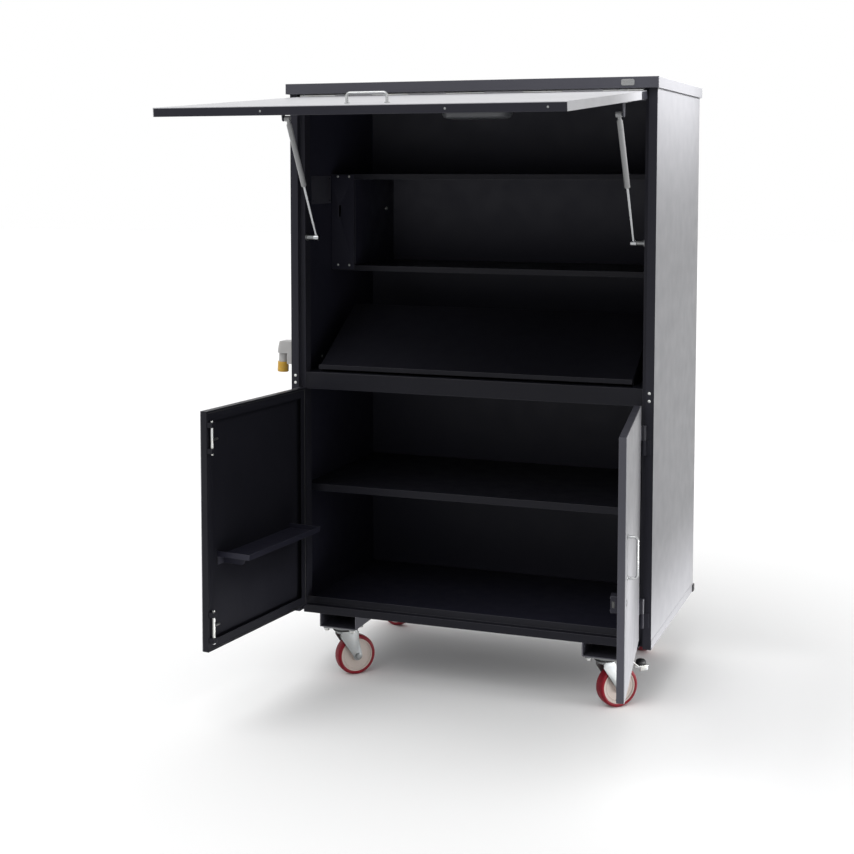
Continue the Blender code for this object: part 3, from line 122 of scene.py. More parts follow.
def linear(colour: str) -> tuple[float, float, float, float]:
    """Turn an sRGB hex colour into linear RGBA by the standard curve.

    Args:
        colour: Colour such as "#a0a1a4".

    Returns:
        Red, green and blue in linear light, and an alpha of one.
    """
    shares = [int(colour[k:k + 2], 16) / 255 for k in (1, 3, 5)]
    parts = [s / 12.92 if s <= 0.04045 else ((s + 0.055) / 1.055) ** 2.4 for s in shares]
    return (parts[0], parts[1], parts[2], 1.0)


def cells(size_mm: float) -> float:
    """Texture scale that draws features of a size in millimetres on metre coordinates."""
    return MM_PER_METRE / size_mm


@dataclass
class Graph:
    """A node tree that takes one node after another."""

    tree: NodeTree

    def feed(self, node: Node, inputs: dict) -> None:
        """Set or link inputs of a node.

        Args:
            node: Node that gets the inputs.
            inputs: A value or an output socket for each input, by name or index.
        """
        for key, value in inputs.items():
            if isinstance(value, NodeSocket):
                self.tree.links.new(value, node.inputs[key])
            else:
                node.inputs[key].default_value = value

    def node(self, kind: str, inputs: dict | None = None, **settings: object) -> Node:
        """Add a node and set it up.

        Args:
            kind: Blender's identifier of the node type.
            inputs: A value or an output socket for each input, by name or index.
            settings: Attributes of the node itself.

        Returns:
            The new node.
        """
        made = self.tree.nodes.new(kind)
        for key, value in settings.items():
            setattr(made, key, value)
        self.feed(made, inputs or {})
        return made

    def add(self, kind: str, inputs: dict, output: int | str = 0, **settings: object) -> NodeSocket:
        """Add a node and return one of its outputs."""
        return self.node(kind, inputs, **settings).outputs[output]


@dataclass
class Surface(Graph):
    """A material's node tree and shader, and the patterns that finishes draw with them."""

    shader: Node
    roughness: float

    def set(self, inputs: dict) -> None:
        """Set or link inputs of the shader."""
        self.feed(self.shader, inputs)

    def place(self) -> NodeSocket:
        """Return the object coordinates of the shaded point."""
        return self.add("ShaderNodeTexCoord", {}, "Object")

    def noise(self, size_mm: float, layers: float = 2.0) -> NodeSocket:
        """Return a noise from 0 to 1 of a feature size, with octaves of finer noise on top."""
        inputs = {"Vector": self.place(), "Scale": cells(size_mm), "Detail": layers}
        return self.add("ShaderNodeTexNoise", inputs)

    def waves(self, size_mm: float, direction: str, distortion: float = 0.0) -> NodeSocket:
        """Return bands of a width across one axis, from 0 to 1."""
        inputs = {"Vector": self.place(), "Scale": cells(size_mm * WAVE_UNITS), "Distortion": distortion}
        return self.add("ShaderNodeTexWave", inputs, 1, bands_direction=direction)

    def tint(self, share: NodeSocket, low: str, high: str) -> None:
        """Vary the base colour from a low tone to a high one by a share."""
        inputs = {0: share, 6: linear(low), 7: linear(high)}
        self.set({"Base Color": self.add("ShaderNodeMix", inputs, 2, data_type="RGBA")})

    def gloss(self, spread: float, size_mm: float, layers: float) -> None:
        """Vary the roughness about its mean with a noise.

        Args:
            spread: How far the roughness goes to either side.
            size_mm: Size of one feature of the noise.
            layers: Octaves of finer noise on top.
        """
        self.set({"Roughness": self.add("ShaderNodeMapRange", {
            "Value": self.noise(size_mm, layers),
            "From Min": NOISE_LOW,
            "From Max": NOISE_HIGH,
            "To Min": self.roughness - spread,
            "To Max": self.roughness + spread,
        })})

    def bump(self, height: NodeSocket, strength: float, depth_mm: float) -> None:
        """Add a height pattern to the shading normal, over those that it has.

        Args:
            height: Pattern from 0 to 1.
            strength: Share of the pattern that shows.
            depth_mm: Depth of the pattern.
        """
        inputs = {"Height": height, "Strength": strength, "Distance": depth_mm / MM_PER_METRE}
        for below in self.shader.inputs["Normal"].links:
            inputs["Normal"] = below.from_socket
        self.set({"Normal": self.add("ShaderNodeBump", inputs)})


@dataclass(frozen=True)
class Finish:
    """A surface finish with one procedural material."""

    name: str
    colour: str
    roughness: float
    slot: Slot
    metallic: float = 0.0

    def material(self) -> Material:
        """Make the finish's material on first use.

        Returns:
            The material.
        """
        made = bpy.data.materials.get(self.name)
        if made is None:
            made = bpy.data.materials.new(self.name)
            made.use_nodes = True
            surface = Surface(made.node_tree, made.node_tree.nodes["Principled BSDF"], self.roughness)
            surface.set({
                "Base Color": linear(self.colour),
                "Roughness": self.roughness,
                "Metallic": self.metallic,
            })
            self.detail(surface)
        return made

    def detail(self, surface: Surface) -> None:
        """Draw the pattern of the finish on a surface."""


@dataclass(frozen=True)
class PowderCoat(Finish):
    """Baked polyester powder coat on folded sheet steel.

    The eye sees a satin film with a faint orange peel, and on wide panels the slow waves of thin sheet.
    Orange peel is 2 to 3 mm wide on the real coat; it is drawn coarser so that it shows at this size.
    """

    light: str = "#ffffff"
    dark: str = "#000000"
    sheen: float = 0.5
    texture: float = 1.0

    def detail(self, surface: Surface) -> None:
        """Cloud the colour slightly, vary the gloss, and add sheet waves and orange peel.

        Args:
            surface: Surface that gets the coat.
        """
        surface.set({"Specular IOR Level": self.sheen})
        surface.tint(surface.noise(size_mm=130.0, layers=5.0), self.dark, self.light)
        surface.gloss(spread=0.05, size_mm=52.0, layers=4.0)
        sheet_wave = surface.noise(size_mm=240.0, layers=1.0)
        surface.bump(sheet_wave, strength=0.35 * self.texture, depth_mm=1.2)
        orange_peel = surface.noise(size_mm=6.0)
        surface.bump(orange_peel, strength=0.06 * self.texture, depth_mm=0.5)


@dataclass(frozen=True)
class ZincPlate(Finish):
    """Bright zinc plating with a clear passivation on pressed and turned steel.

    The eye sees a cool bright metal with faint clouds of bluish and straw tone and a slightly dull grain.
    """

    cool: str = "#c4c9ce"
    warm: str = "#d2cfc6"

    def detail(self, surface: Surface) -> None:
        """Cloud the tone, break the gloss up and add the grain of the pressed steel.

        Args:
            surface: Surface that gets the plating.
        """
        surface.tint(surface.noise(size_mm=14.0, layers=4.0), self.cool, self.warm)
        surface.gloss(spread=0.08, size_mm=7.0, layers=4.0)
        surface.bump(surface.noise(size_mm=1.6), strength=0.10, depth_mm=0.15)


@dataclass(frozen=True)
class GroundRod(Finish):
    """Ground and chromed piston rod.

    The eye sees a mirror-like bar with a very fine turning across it, drawn at 1.2 mm so that it shows.
    """

    def detail(self, surface: Surface) -> None:
        """Add uneven polish and a faint turning.

        Args:
            surface: Surface of the rod.
        """
        surface.gloss(spread=0.05, size_mm=30.0, layers=3.0)
        turning = surface.waves(size_mm=1.2, direction="Z", distortion=0.6)
        surface.bump(turning, strength=0.04, depth_mm=0.1)


@dataclass(frozen=True)
class Moulded(Finish):
    """Injection-moulded plastic with a spark-eroded texture.

    The eye sees an even, soft-glossed colour with a fine pebble, drawn at 1.5 mm so that it shows.
    """

    dark: str = "#000000"
    pebble: float = 0.10

    def detail(self, surface: Surface) -> None:
        """Vary the tone a little and add the mould's texture.

        Args:
            surface: Surface of the moulding.
        """
        surface.tint(surface.noise(size_mm=45.0, layers=4.0), self.dark, self.colour)
        surface.gloss(spread=0.06, size_mm=25.0, layers=3.0)
        surface.bump(surface.noise(size_mm=1.5), strength=self.pebble, depth_mm=0.2)


@dataclass(frozen=True)
class OpalLens(Finish):
    """Opal polycarbonate lamp cover with moulded prisms along it.

    The eye sees a milky cover that light sinks into, with fine ridges 4 mm apart.
    """

    def detail(self, surface: Surface) -> None:
        """Let light sink in and add the prisms.

        Args:
            surface: Surface of the cover.
        """
        surface.set({
            "Subsurface Weight": 0.35,
            "Subsurface Radius": (0.012, 0.012, 0.011),
            "Subsurface Scale": 0.5,
        })
        surface.gloss(spread=0.05, size_mm=40.0, layers=3.0)
        surface.bump(surface.waves(size_mm=4.0, direction="X"), strength=0.35, depth_mm=0.6)


@dataclass(frozen=True)
class CastTyre(Finish):
    """Cast polyurethane tread.

    The eye sees a saturated, waxy red with scuffs that dull it and dust in the scuffs.
    """

    dust: str = "#69202a"
    scuff_mm: float = 9.0

    def detail(self, surface: Surface) -> None:
        """Scuff and dust the tread.

        Args:
            surface: Surface of the tread.
        """
        surface.set({"Specular IOR Level": 0.2})
        scuff = surface.noise(self.scuff_mm, layers=6.0)
        worn = surface.add("ShaderNodeMapRange", {"Value": scuff, "From Min": 0.52, "From Max": 0.72})
        surface.tint(worn, self.colour, self.dust)
        surface.gloss(spread=0.10, size_mm=self.scuff_mm, layers=6.0)
        surface.bump(surface.noise(size_mm=2.0, layers=3.0), strength=0.12, depth_mm=0.3)


SILVER = PowderCoat("Silver_grey_powder_coat", "#96969a", 0.38, Slot.SILVER, 0.05,
                    light="#99999d", dark="#939397", sheen=0.15)
# A lighter, glossier copy of the silver paint for the flap's skin, which faces up: painted highlight.
SILVER_SATIN_HIGHLIGHT = PowderCoat("Silver_grey_satin_painted_highlight", "#bebec2", 0.36, Slot.SILVER, 0.05,
                          light="#c1c1c5", dark="#bbbbbf", sheen=0.5, texture=0.06)
# Lighter silver on the rounded edges: a painted highlight along every edge.
SILVER_EDGE_HIGHLIGHT = PowderCoat("Silver_grey_painted_edge_highlight", "#bebec3", 0.30, Slot.SILVER, 0.05,
                         light="#c3c3c8", dark="#b8b8bd", sheen=0.3)
CHARCOAL = PowderCoat("Charcoal_powder_coat", "#42424a", 0.40, Slot.CHARCOAL,
                      light="#45454d", dark="#3e3e46", sheen=0.35)
# Lighter charcoal on the rounded edges: a painted highlight.
CHARCOAL_EDGE_HIGHLIGHT = PowderCoat("Charcoal_painted_edge_highlight", "#58585f", 0.34, Slot.CHARCOAL,
                           light="#5d5d64", dark="#52525a", sheen=0.35)
# A darker copy of the charcoal paint for the frame and parts that stand in shade: painted shade.
FRAME_SHADE = PowderCoat("Charcoal_frame_painted_shade", "#2b2b32", 0.42, Slot.CHARCOAL,
                   light="#2e2e35", dark="#28282f", sheen=0.1)
# Lighter charcoal on the rounded edges of the darker pieces: a painted highlight; it is also the own
# charcoal paint of the door hinge leaves.
FRAME_EDGE_HIGHLIGHT_AND_HINGE = PowderCoat("Charcoal_frame_coat_at_folds", "#3b3b42", 0.36, Slot.CHARCOAL,
                        light="#3f3f46", dark="#36363d", sheen=0.3)
# A darker copy of the charcoal paint for the inside of the cabinet: painted shade.
INNER_SHADE = PowderCoat("Charcoal_inner_painted_shade", "#252530", 0.44, Slot.CHARCOAL,
                   light="#282833", dark="#22222d", sheen=0.2)
# Lighter inner charcoal on the rounded edges: a painted highlight.
INNER_EDGE_HIGHLIGHT = PowderCoat("Charcoal_inner_painted_edge_highlight", "#33333a", 0.38, Slot.CHARCOAL,
                        light="#37373e", dark="#2f2f36", sheen=0.3)
# The darkest copy of the charcoal paint, for shelves, deck, sill and the left door: painted shade.
SHELF_SHADE = PowderCoat("Charcoal_shelf_painted_shade", "#1d1d23", 0.40, Slot.CHARCOAL,
                   light="#202026", dark="#1a1a20", sheen=0.12)
ZINC = ZincPlate("Zinc_plated_steel", "#c9cbcc", 0.34, Slot.ZINC, 1.0)
DULL = ZincPlate("Dull_zinc_plated_steel", "#85888a", 0.46, Slot.ZINC, 1.0,
                 cool="#7e8286", warm="#8b8b88")
POLISHED = ZincPlate("Polished_zinc_plated_steel", "#b2b4b6", 0.22, Slot.ZINC, 1.0,
                     cool="#aeb1b4", warm="#b6b6b4")
BRIGHT = ZincPlate("Brushed_nickel_steel", "#909294", 0.30, Slot.STEEL, 1.0,
                   cool="#8c8f92", warm="#959492")
TONGUE = ZincPlate("Oiled_steel", "#515254", 0.46, Slot.STEEL, 1.0, cool="#4d4f51", warm="#565553")
ROD = GroundRod("Chromed_piston_rod", "#a9abad", 0.26, Slot.STEEL, 1.0)
STRUT = PowderCoat("Pale_grey_strut_paint", "#9a9b9c", 0.32, Slot.STRUT,
                   light="#9e9fa0", dark="#959697", sheen=0.4)
PALE = Moulded("Pale_grey_ABS", "#b5b4b3", 0.42, Slot.PALE, dark="#acabaa")
YELLOW = Moulded("Yellow_polyamide", "#d0a437", 0.40, Slot.YELLOW, dark="#c3962f")
BLACK = Moulded("Black_rubber", "#1c1c1e", 0.58, Slot.BLACK, dark="#161618", pebble=0.18)
NYLON = Moulded("Natural_cast_nylon", "#bcb1aa", 0.44, Slot.PALE, dark="#b1a59d")
# The opal cover has a dark grey base instead of its milky white: painted shade on the lamp inside the
# cabinet.
LENS = OpalLens("Opal_polycarbonate_darkened_painted_shade", "#54565a", 0.36, Slot.LENS)
TYRE = CastTyre("Red_cast_polyurethane", "#7b0f1e", 0.48, Slot.TYRE)


def link(name: str, data: ID) -> Object:
    """Put a mesh, lamp or camera into the scene as an object at the origin.

    Args:
        name: Name of the object.
        data: What it shows.

    Returns:
        The object.
    """
    made = bpy.data.objects.new(name, data)
    bpy.context.scene.collection.objects.link(made)
    return made


def bake(obj: Object) -> None:
    """Turn an object's modifiers into plain mesh.

    Args:
        obj: Object with modifiers.
    """
    bpy.context.view_layer.update()
    graph = bpy.context.evaluated_depsgraph_get()
    mesh = bpy.data.meshes.new_from_object(obj.evaluated_get(graph))
    obj.modifiers.clear()
    obj.data = mesh


def smooth(obj: Object) -> None:
    """Shade an object smooth across its round parts and sharp across its edges."""
    obj.data.shade_smooth()
    obj.data.set_sharp_from_angle(angle=SHARP_ANGLE)


def adopt(obj: Object, body: str, slot: Slot, *nodes: str) -> None:
    """Let a finished piece ride on a body and report it.

    Args:
        obj: The piece.
        body: Body that carries it.
        slot: Record slot of its finish; not used.
        nodes: CAD nodes that it stands for.
    """
    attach(obj, body)
    if nodes:
        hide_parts(*nodes)
    LOG.info("%s on %s: %d faces", obj.name, body, len(obj.data.polygons))


def corners(node: str) -> tuple[Vector, Vector]:
    """Lowest and highest corner of a CAD node at rest."""
    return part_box(node)


def round_edges(piece: Object, width_mm: float, angle: float, material: int = -1) -> None:
    """Round the edges of a piece and turn the rounding into plain mesh.

    Args:
        piece: The piece.
        width_mm: Width of the rounding.
        angle: Least angle between the faces of an edge that is rounded.
        material: Material index of the rounding; that of the faces beside it if -1.
    """
    rounding = piece.modifiers.new("rounded edges", "BEVEL")
    rounding.width = width_mm / MM_PER_METRE
    rounding.segments = 2
    rounding.limit_method = "ANGLE"
    rounding.angle_limit = angle
    rounding.material = material
    bake(piece)


def refine(node: str, body: str, face: Finish, edge: Finish | None = None, *, width_mm: float = 0.7,
           inner: tuple[Finish, Vector] | None = None,
           patch: tuple[Finish, Callable[[Vector], bool]] | None = None) -> None:
    """Stand a copy of a CAD node in its place, with merged faces and rounded edges.

    Args:
        node: CAD node to copy.
        body: Body that carries it.
        face: Finish of its faces.
        edge: Finish of its rounded edges, a lighter coat there as a painted highlight; the face's own if
            none.
        width_mm: Width of the rounding.
        inner: A second finish, a darker coat as painted shade, and the direction in which faces that have
            it look.
        patch: A finish of its own for the faces whose middle passes a test.
    """
    work = bmesh.new()
    work.from_mesh(frame["nodes"][node].data)
    bmesh.ops.remove_doubles(work, verts=work.verts, dist=MERGE)
    bmesh.ops.dissolve_limit(work, angle_limit=FLAT_ANGLE, verts=work.verts, edges=work.edges)
    mesh = bpy.data.meshes.new(f"{node}_dressed")
    work.to_mesh(mesh)
    work.free()
    mesh.materials.clear()
    for finish in [face, edge or face] + ([inner[0]] if inner else []):
        mesh.materials.append(finish.material())
    # Faces that look the given way take the second finish, a darker coat as painted shade.
    for polygon in mesh.polygons:
        shaded = inner is not None and polygon.normal.dot(inner[1]) > SAME_WAY
        polygon.material_index = SHADE_INDEX if shaded else FACE_INDEX
    piece = link(f"{node}_dressed", mesh)
    # The rounding takes the edge finish, a lighter coat: painted highlight.
    round_edges(piece, width_mm, NODE_EDGE_ANGLE, EDGE_HIGHLIGHT_INDEX)
    if patch:
        piece.data.materials.append(patch[0].material())
        for polygon in piece.data.polygons:
            if patch[1](polygon.center):
                polygon.material_index = len(piece.data.materials) - 1
    smooth(piece)
    adopt(piece, body, face.slot, node)


def settle(work: bmesh.types.BMesh, name: str, place: Matrix, finish: Finish) -> Object:
    """Turn a closed work mesh into a coated object in its place.

    Args:
        work: Work mesh, which is freed.
        name: Name of the piece.
        place: Matrix that puts the shape in place.
        finish: Finish of the piece.

    Returns:
        The object, not yet riding on a body.
    """
    bmesh.ops.recalc_face_normals(work, faces=work.faces)
    work.transform(place)
    mesh = bpy.data.meshes.new(name)
    work.to_mesh(mesh)
    work.free()
    mesh.materials.append(finish.material())
    return link(name, mesh)


def lathe(name: str, body: str, profile: Outline, place: Matrix, finish: Finish, *nodes: str,
          steps: int = 32) -> None:
    """Turn a closed outline about the local Y axis.

    Args:
        name: Name of the piece.
        body: Body that carries it.
        profile: Radius and place along the axis of each point of the outline.
        place: Matrix that puts the turned shape in place.
        finish: Finish of the piece.
        nodes: CAD nodes that it stands for.
        steps: Facets around.
    """
    work = bmesh.new()
    loops = []
    for k in range(steps):
        turn = FULL_TURN * k / steps
        ring = [(r * math.cos(turn), along, r * math.sin(turn)) for r, along in profile]
        loops.append([work.verts.new(point) for point in ring])
    count = len(profile)
    for k in range(steps):
        here, there = loops[k], loops[(k + 1) % steps]
        for j in range(count):
            work.faces.new((here[j], here[(j + 1) % count], there[(j + 1) % count], there[j]))
    piece = settle(work, name, place, finish)
    smooth(piece)
    adopt(piece, body, finish.slot, *nodes)


def slab(name: str, body: str, outline: Outline, start: float, end: float, place: Matrix,
         finish: Finish, width_mm: float) -> None:
    """Raise an outline in the local XZ plane along Y, with rounded edges.

    Args:
        name: Name of the piece.
        body: Body that carries it.
        outline: Corners of the outline, in order.
        start: Local Y where it starts.
        end: Local Y where it ends.
        place: Matrix that puts the shape in place.
        finish: Finish of the piece.
        width_mm: Width of the edge rounding.
    """
    work = bmesh.new()
    low = [work.verts.new((u, start, v)) for u, v in outline]
    high = [work.verts.new((u, end, v)) for u, v in outline]
    work.faces.new(low)
    work.faces.new(high[::-1])
    for k in range(len(low)):
        following = (k + 1) % len(low)
        work.faces.new((low[k], high[k], high[following], low[following]))
    piece = settle(work, name, place, finish)
    round_edges(piece, width_mm, SLAB_EDGE_ANGLE)
    smooth(piece)
    adopt(piece, body, finish.slot)


def rectangle(x0: float, x1: float, z0: float, z1: float) -> list[Point]:
    """Corners of a rectangle."""
    return [(x0, z0), (x1, z0), (x1, z1), (x0, z1)]


def spaced(low: float, high: float, margin: float, count: int) -> list[float]:
    """Evenly spaced places between two ends, with a margin at each end."""
    return [low + margin + k * (high - low - 2.0 * margin) / (count - 1) for k in range(count)]


def shifted(points: Iterable[Point], radius: float, along: float) -> list[Point]:
    """Points of a profile, moved out and along the axis."""
    return [(radius + out, along + up) for out, up in points]


def mirrored(side: Outline) -> list[Point]:
    """A profile's one side, closed by its mirror image."""
    return [*side, *((out, -along) for out, along in side[::-1])]


def aimed(place: Vector, direction: Vector) -> Matrix:
    """Matrix that puts the origin at a place and turns the local Y axis to a direction."""
    return Matrix.Translation(place) @ direction.to_track_quat("Y", "Z").to_matrix().to_4x4()


class Tree(Graph):
    """A Geometry Nodes tree with named sizes, grown on a seed mesh and baked."""

    def __init__(self, name: str, *sizes: str) -> None:
        """Start the tree.

        Args:
            name: Name of the node group.
            sizes: Names of its sizes, which are inputs beside the seed and the material.
        """
        super().__init__(bpy.data.node_groups.new(name, "GeometryNodeTree"))
        kinds = {"Geometry": "NodeSocketGeometry"} | dict.fromkeys(sizes, "NodeSocketFloat")
        kinds["Material"] = "NodeSocketMaterial"
        face = self.tree.interface
        for title, kind in kinds.items():
            face.new_socket(title, in_out="INPUT", socket_type=kind)
        face.new_socket("Geometry", in_out="OUTPUT", socket_type=kinds["Geometry"])
        self.inputs = self.node("NodeGroupInput").outputs

    def scaled(self, socket: NodeSocket, share: float) -> NodeSocket:
        """Return a share of a size."""
        return self.add("ShaderNodeMath", {0: socket, 1: share}, operation="MULTIPLY")

    def raised(self, solid: NodeSocket, height: NodeSocket) -> NodeSocket:
        """Return a solid lifted along Z."""
        lift = self.add("ShaderNodeCombineXYZ", {"Z": height})
        return self.add("GeometryNodeTransform", {"Geometry": solid, "Translation": lift})

    def cone(self, sides: int, foot: NodeSocket, top: NodeSocket, depth: NodeSocket) -> NodeSocket:
        """Return a closed cone or drum with its foot on the origin."""
        sizes = {"Vertices": sides, "Radius Bottom": foot, "Radius Top": top, "Depth": depth}
        return self.add("GeometryNodeMeshCone", sizes)

    def close(self, geometry: NodeSocket) -> None:
        """Realize what the tree made, give it its material and end the tree.

        Args:
            geometry: Instances or mesh to end with.
        """
        real = self.add("GeometryNodeRealizeInstances", {0: geometry})
        coat = self.add("GeometryNodeSetMaterial", {0: real, "Material": self.inputs["Material"]})
        self.node("NodeGroupOutput", {0: coat})

    def grow(self, name: str, seed: ID, finish: Finish, values: dict[str, float]) -> Object:
        """Grow the tree on a seed and bake it.

        Args:
            name: Name of the piece.
            seed: Mesh with the points or lines to follow.
            finish: Finish of the piece.
            values: Value of each named size.

        Returns:
            The piece as plain mesh, not yet riding on a body.
        """
        host = link(name, seed)
        modifier = host.modifiers.new("grow", "NODES")
        modifier.node_group = self.tree
        given = dict(values, Material=finish.material())
        for item in self.tree.interface.items_tree:
            if item.item_type == "SOCKET" and item.in_out == "INPUT" and item.name in given:
                modifier[item.identifier] = given[item.name]
        bake(host)
        host.data.name = name
        smooth(host)
        return host


@dataclass
class Fastener(ABC):
    """A kind of small hardware that repeats: its head stands on points and looks along their facing."""

    radius: float
    height: float
    washer: float = 0.0
    seed = 11
    _tree = None

    @abstractmethod
    def head(self, tree: Tree) -> list[NodeSocket]:
        """Return the solids of one head, standing on the origin along Z."""

    def tree(self) -> Tree:
        """Return the kind's tree, made on first use.

        Returns:
            A tree that sets a head on each point, turned by chance about its facing.
        """
        kind = type(self)
        if kind._tree is None:
            made = Tree(f"{kind.__name__} heads", "Radius", "Height", "Washer")
            joined = made.node("GeometryNodeJoinGeometry")
            for solid in self.head(made):
                made.feed(joined, {0: solid})
            named = {"Name": "facing"}
            facing = made.add("GeometryNodeInputNamedAttribute", named, data_type="FLOAT_VECTOR")
            aim = made.add("FunctionNodeAlignRotationToVector", {"Vector": facing}, axis="Z")
            draw = {3: FULL_TURN, "Seed": self.seed}
            chance = made.add("FunctionNodeRandomValue", draw, 1, data_type="FLOAT")
            spin = made.add("FunctionNodeAxisAngleToRotation", {"Axis": (0.0, 0.0, 1.0), "Angle": chance})
            turns = {"Rotation": aim, "Rotate By": spin}
            turn = made.add("FunctionNodeRotateRotation", turns, rotation_space="LOCAL")
            made.close(made.add("GeometryNodeInstanceOnPoints", {
                "Points": made.inputs["Geometry"],
                "Instance": joined.outputs[0],
                "Rotation": turn,
            }))
            kind._tree = made
        return kind._tree

    def fit(self, name: str, body: str, places: Iterable[Sequence[float]], facing: Vector,
            finish: Finish) -> None:
        """Set heads on a body, all as one piece.

        Args:
            name: Name of the piece.
            body: Body that carries the heads.
            places: Place of each head.
            facing: Direction in which the heads look.
            finish: Finish of the heads.
        """
        seed = bpy.data.meshes.new(f"{name}_points")
        seed.from_pydata([tuple(place) for place in places], [], [])
        for point in seed.attributes.new("facing", "FLOAT_VECTOR", "POINT").data:
            point.vector = facing
        sizes = {"Radius": self.radius, "Height": self.height, "Washer": self.washer}
        adopt(self.tree().grow(name, seed, finish, sizes), body, finish.slot)


@dataclass
class DomeRivet(Fastener):
    """A blind rivet's low dome."""

    radius: float = 0.0042
    height: float = 0.0016

    def head(self, tree: Tree) -> list[NodeSocket]:
        """Return a flattened ball whose upper half shows.

        Args:
            tree: Tree that gets the nodes.

        Returns:
            The ball.
        """
        radius = tree.inputs["Radius"]
        ball = tree.add("GeometryNodeMeshUVSphere", {"Segments": 16, "Rings": 8, "Radius": radius})
        ratio = tree.add("ShaderNodeMath", {0: tree.inputs["Height"], 1: radius}, operation="DIVIDE")
        size = tree.add("ShaderNodeCombineXYZ", {"X": 1.0, "Y": 1.0, "Z": ratio})
        return [tree.add("GeometryNodeTransform", {"Geometry": ball, "Scale": size})]


@dataclass
class PanScrew(Fastener):
    """A pan-head screw with a cross recess."""

    radius: float = 0.0040
    height: float = 0.0018
    sides = 20
    drum_share = 0.55
    crown_share = 0.45
    crown_top = 0.62
    bar_width = 0.22
    bar_height = 0.2

    def head(self, tree: Tree) -> list[NodeSocket]:
        """Return a low drum with a crown and the raised edges of a cross recess.

        Args:
            tree: Tree that gets the nodes.

        Returns:
            Drum, crown and the two bars of the cross.
        """
        radius, height = tree.inputs["Radius"], tree.inputs["Height"]
        drum_height = tree.scaled(height, self.drum_share)
        crown_height = tree.scaled(height, self.crown_share)
        crown = tree.cone(self.sides, radius, tree.scaled(radius, self.crown_top), crown_height)
        solids = [tree.cone(self.sides, radius, radius, drum_height), tree.raised(crown, drum_height)]
        for shares in ((1.0, self.bar_width), (self.bar_width, 1.0)):
            long, wide = (tree.scaled(radius, share) for share in shares)
            sizes = {"X": long, "Y": wide, "Z": tree.scaled(height, self.bar_height)}
            bar = tree.add("GeometryNodeMeshCube", {"Size": tree.add("ShaderNodeCombineXYZ", sizes)})
            solids.append(tree.raised(bar, height))
        return solids


@dataclass
class HexBolt(Fastener):
    """A hexagon bolt head on its washer."""

    radius: float = 0.0075
    height: float = 0.0050
    washer: float = 0.0090
    sides = 6
    washer_sides = 24
    washer_top = 0.97
    washer_share = 0.26
    block_share = 0.85
    chamfer_top = 0.84

    def head(self, tree: Tree) -> list[NodeSocket]:
        """Return the washer, the hexagon and its chamfered top.

        Args:
            tree: Tree that gets the nodes.

        Returns:
            Washer, block and chamfer.
        """
        radius, height, washer = (tree.inputs[word] for word in ("Radius", "Height", "Washer"))
        washer_top, depth = tree.scaled(washer, self.washer_top), tree.scaled(height, self.washer_share)
        solids = [tree.cone(self.washer_sides, washer, washer_top, depth)]
        share = self.block_share
        for part, top, start in ((share, 1.0, 0.0), (1.0 - share, self.chamfer_top, share)):
            block = tree.cone(self.sides, radius, tree.scaled(radius, top), tree.scaled(height, part))
            solids.append(tree.raised(block, tree.scaled(height, start)))
        return solids


@cache
def bar_tree() -> Tree:
    """Build the tree of a round bar that is bent along a line of corners.

    Returns:
        A tree that sweeps a circle along the line, with its corners bent round.
    """
    made = Tree("Bent bar", "Radius", "Bend")
    path = made.add("GeometryNodeMeshToCurve", {0: made.inputs["Geometry"]})
    bends = {"Curve": path, "Radius": made.inputs["Bend"], "Count": 8, "Limit Radius": True}
    bent = made.add("GeometryNodeFilletCurve", bends, mode="POLY")
    circle = {"Resolution": 20, "Radius": made.inputs["Radius"]}
    ring = made.add("GeometryNodeCurvePrimitiveCircle", circle)
    sweep = {"Curve": bent, "Profile Curve": ring, "Fill Caps": True}
    made.close(made.add("GeometryNodeCurveToMesh", sweep))
    return made


def bend_bar(name: str, body: str, line: Sequence[Vector], radius: float, bend: float, finish: Finish,
             *nodes: str) -> None:
    """Bend a round bar along a line, for a handle or a seal cord.

    Args:
        name: Name of the piece.
        body: Body that carries it.
        line: Corners of the bar's middle line.
        radius: Radius of the bar.
        bend: Radius of its bends.
        finish: Finish of the bar.
        nodes: CAD nodes that it stands for.
    """
    runs = [(k, k + 1) for k in range(len(line) - 1)]
    seed = bpy.data.meshes.new(f"{name}_line")
    seed.from_pydata([tuple(point) for point in line], runs, [])
    bar = bar_tree().grow(name, seed, finish, {"Radius": radius, "Bend": bend})
    work = bmesh.new()
    work.from_mesh(bar.data)
    bmesh.ops.recalc_face_normals(work, faces=work.faces)
    work.to_mesh(bar.data)
    work.free()
    adopt(bar, body, finish.slot, *nodes)


@dataclass(frozen=True)
class Softbox:
    """A lamp with a rectangular face that looks at a point and lights a narrow cone."""

    name: str
    place: Vector
    target: Vector
    width: float
    height: float
    power: float
    spread: float

    def hang(self) -> None:
        """Hang the lamp and turn its face to its target."""
        lamp = bpy.data.lights.new(self.name, "AREA")
        lamp.shape = "RECTANGLE"
        lamp.size = self.width
        lamp.size_y = self.height
        lamp.energy = self.power
        lamp.spread = self.spread
        stand = link(self.name, lamp)
        stand.location = self.place
        stand.rotation_euler = (self.target - self.place).to_track_quat("-Z", "Y").to_euler()
        stand.visible_camera = False


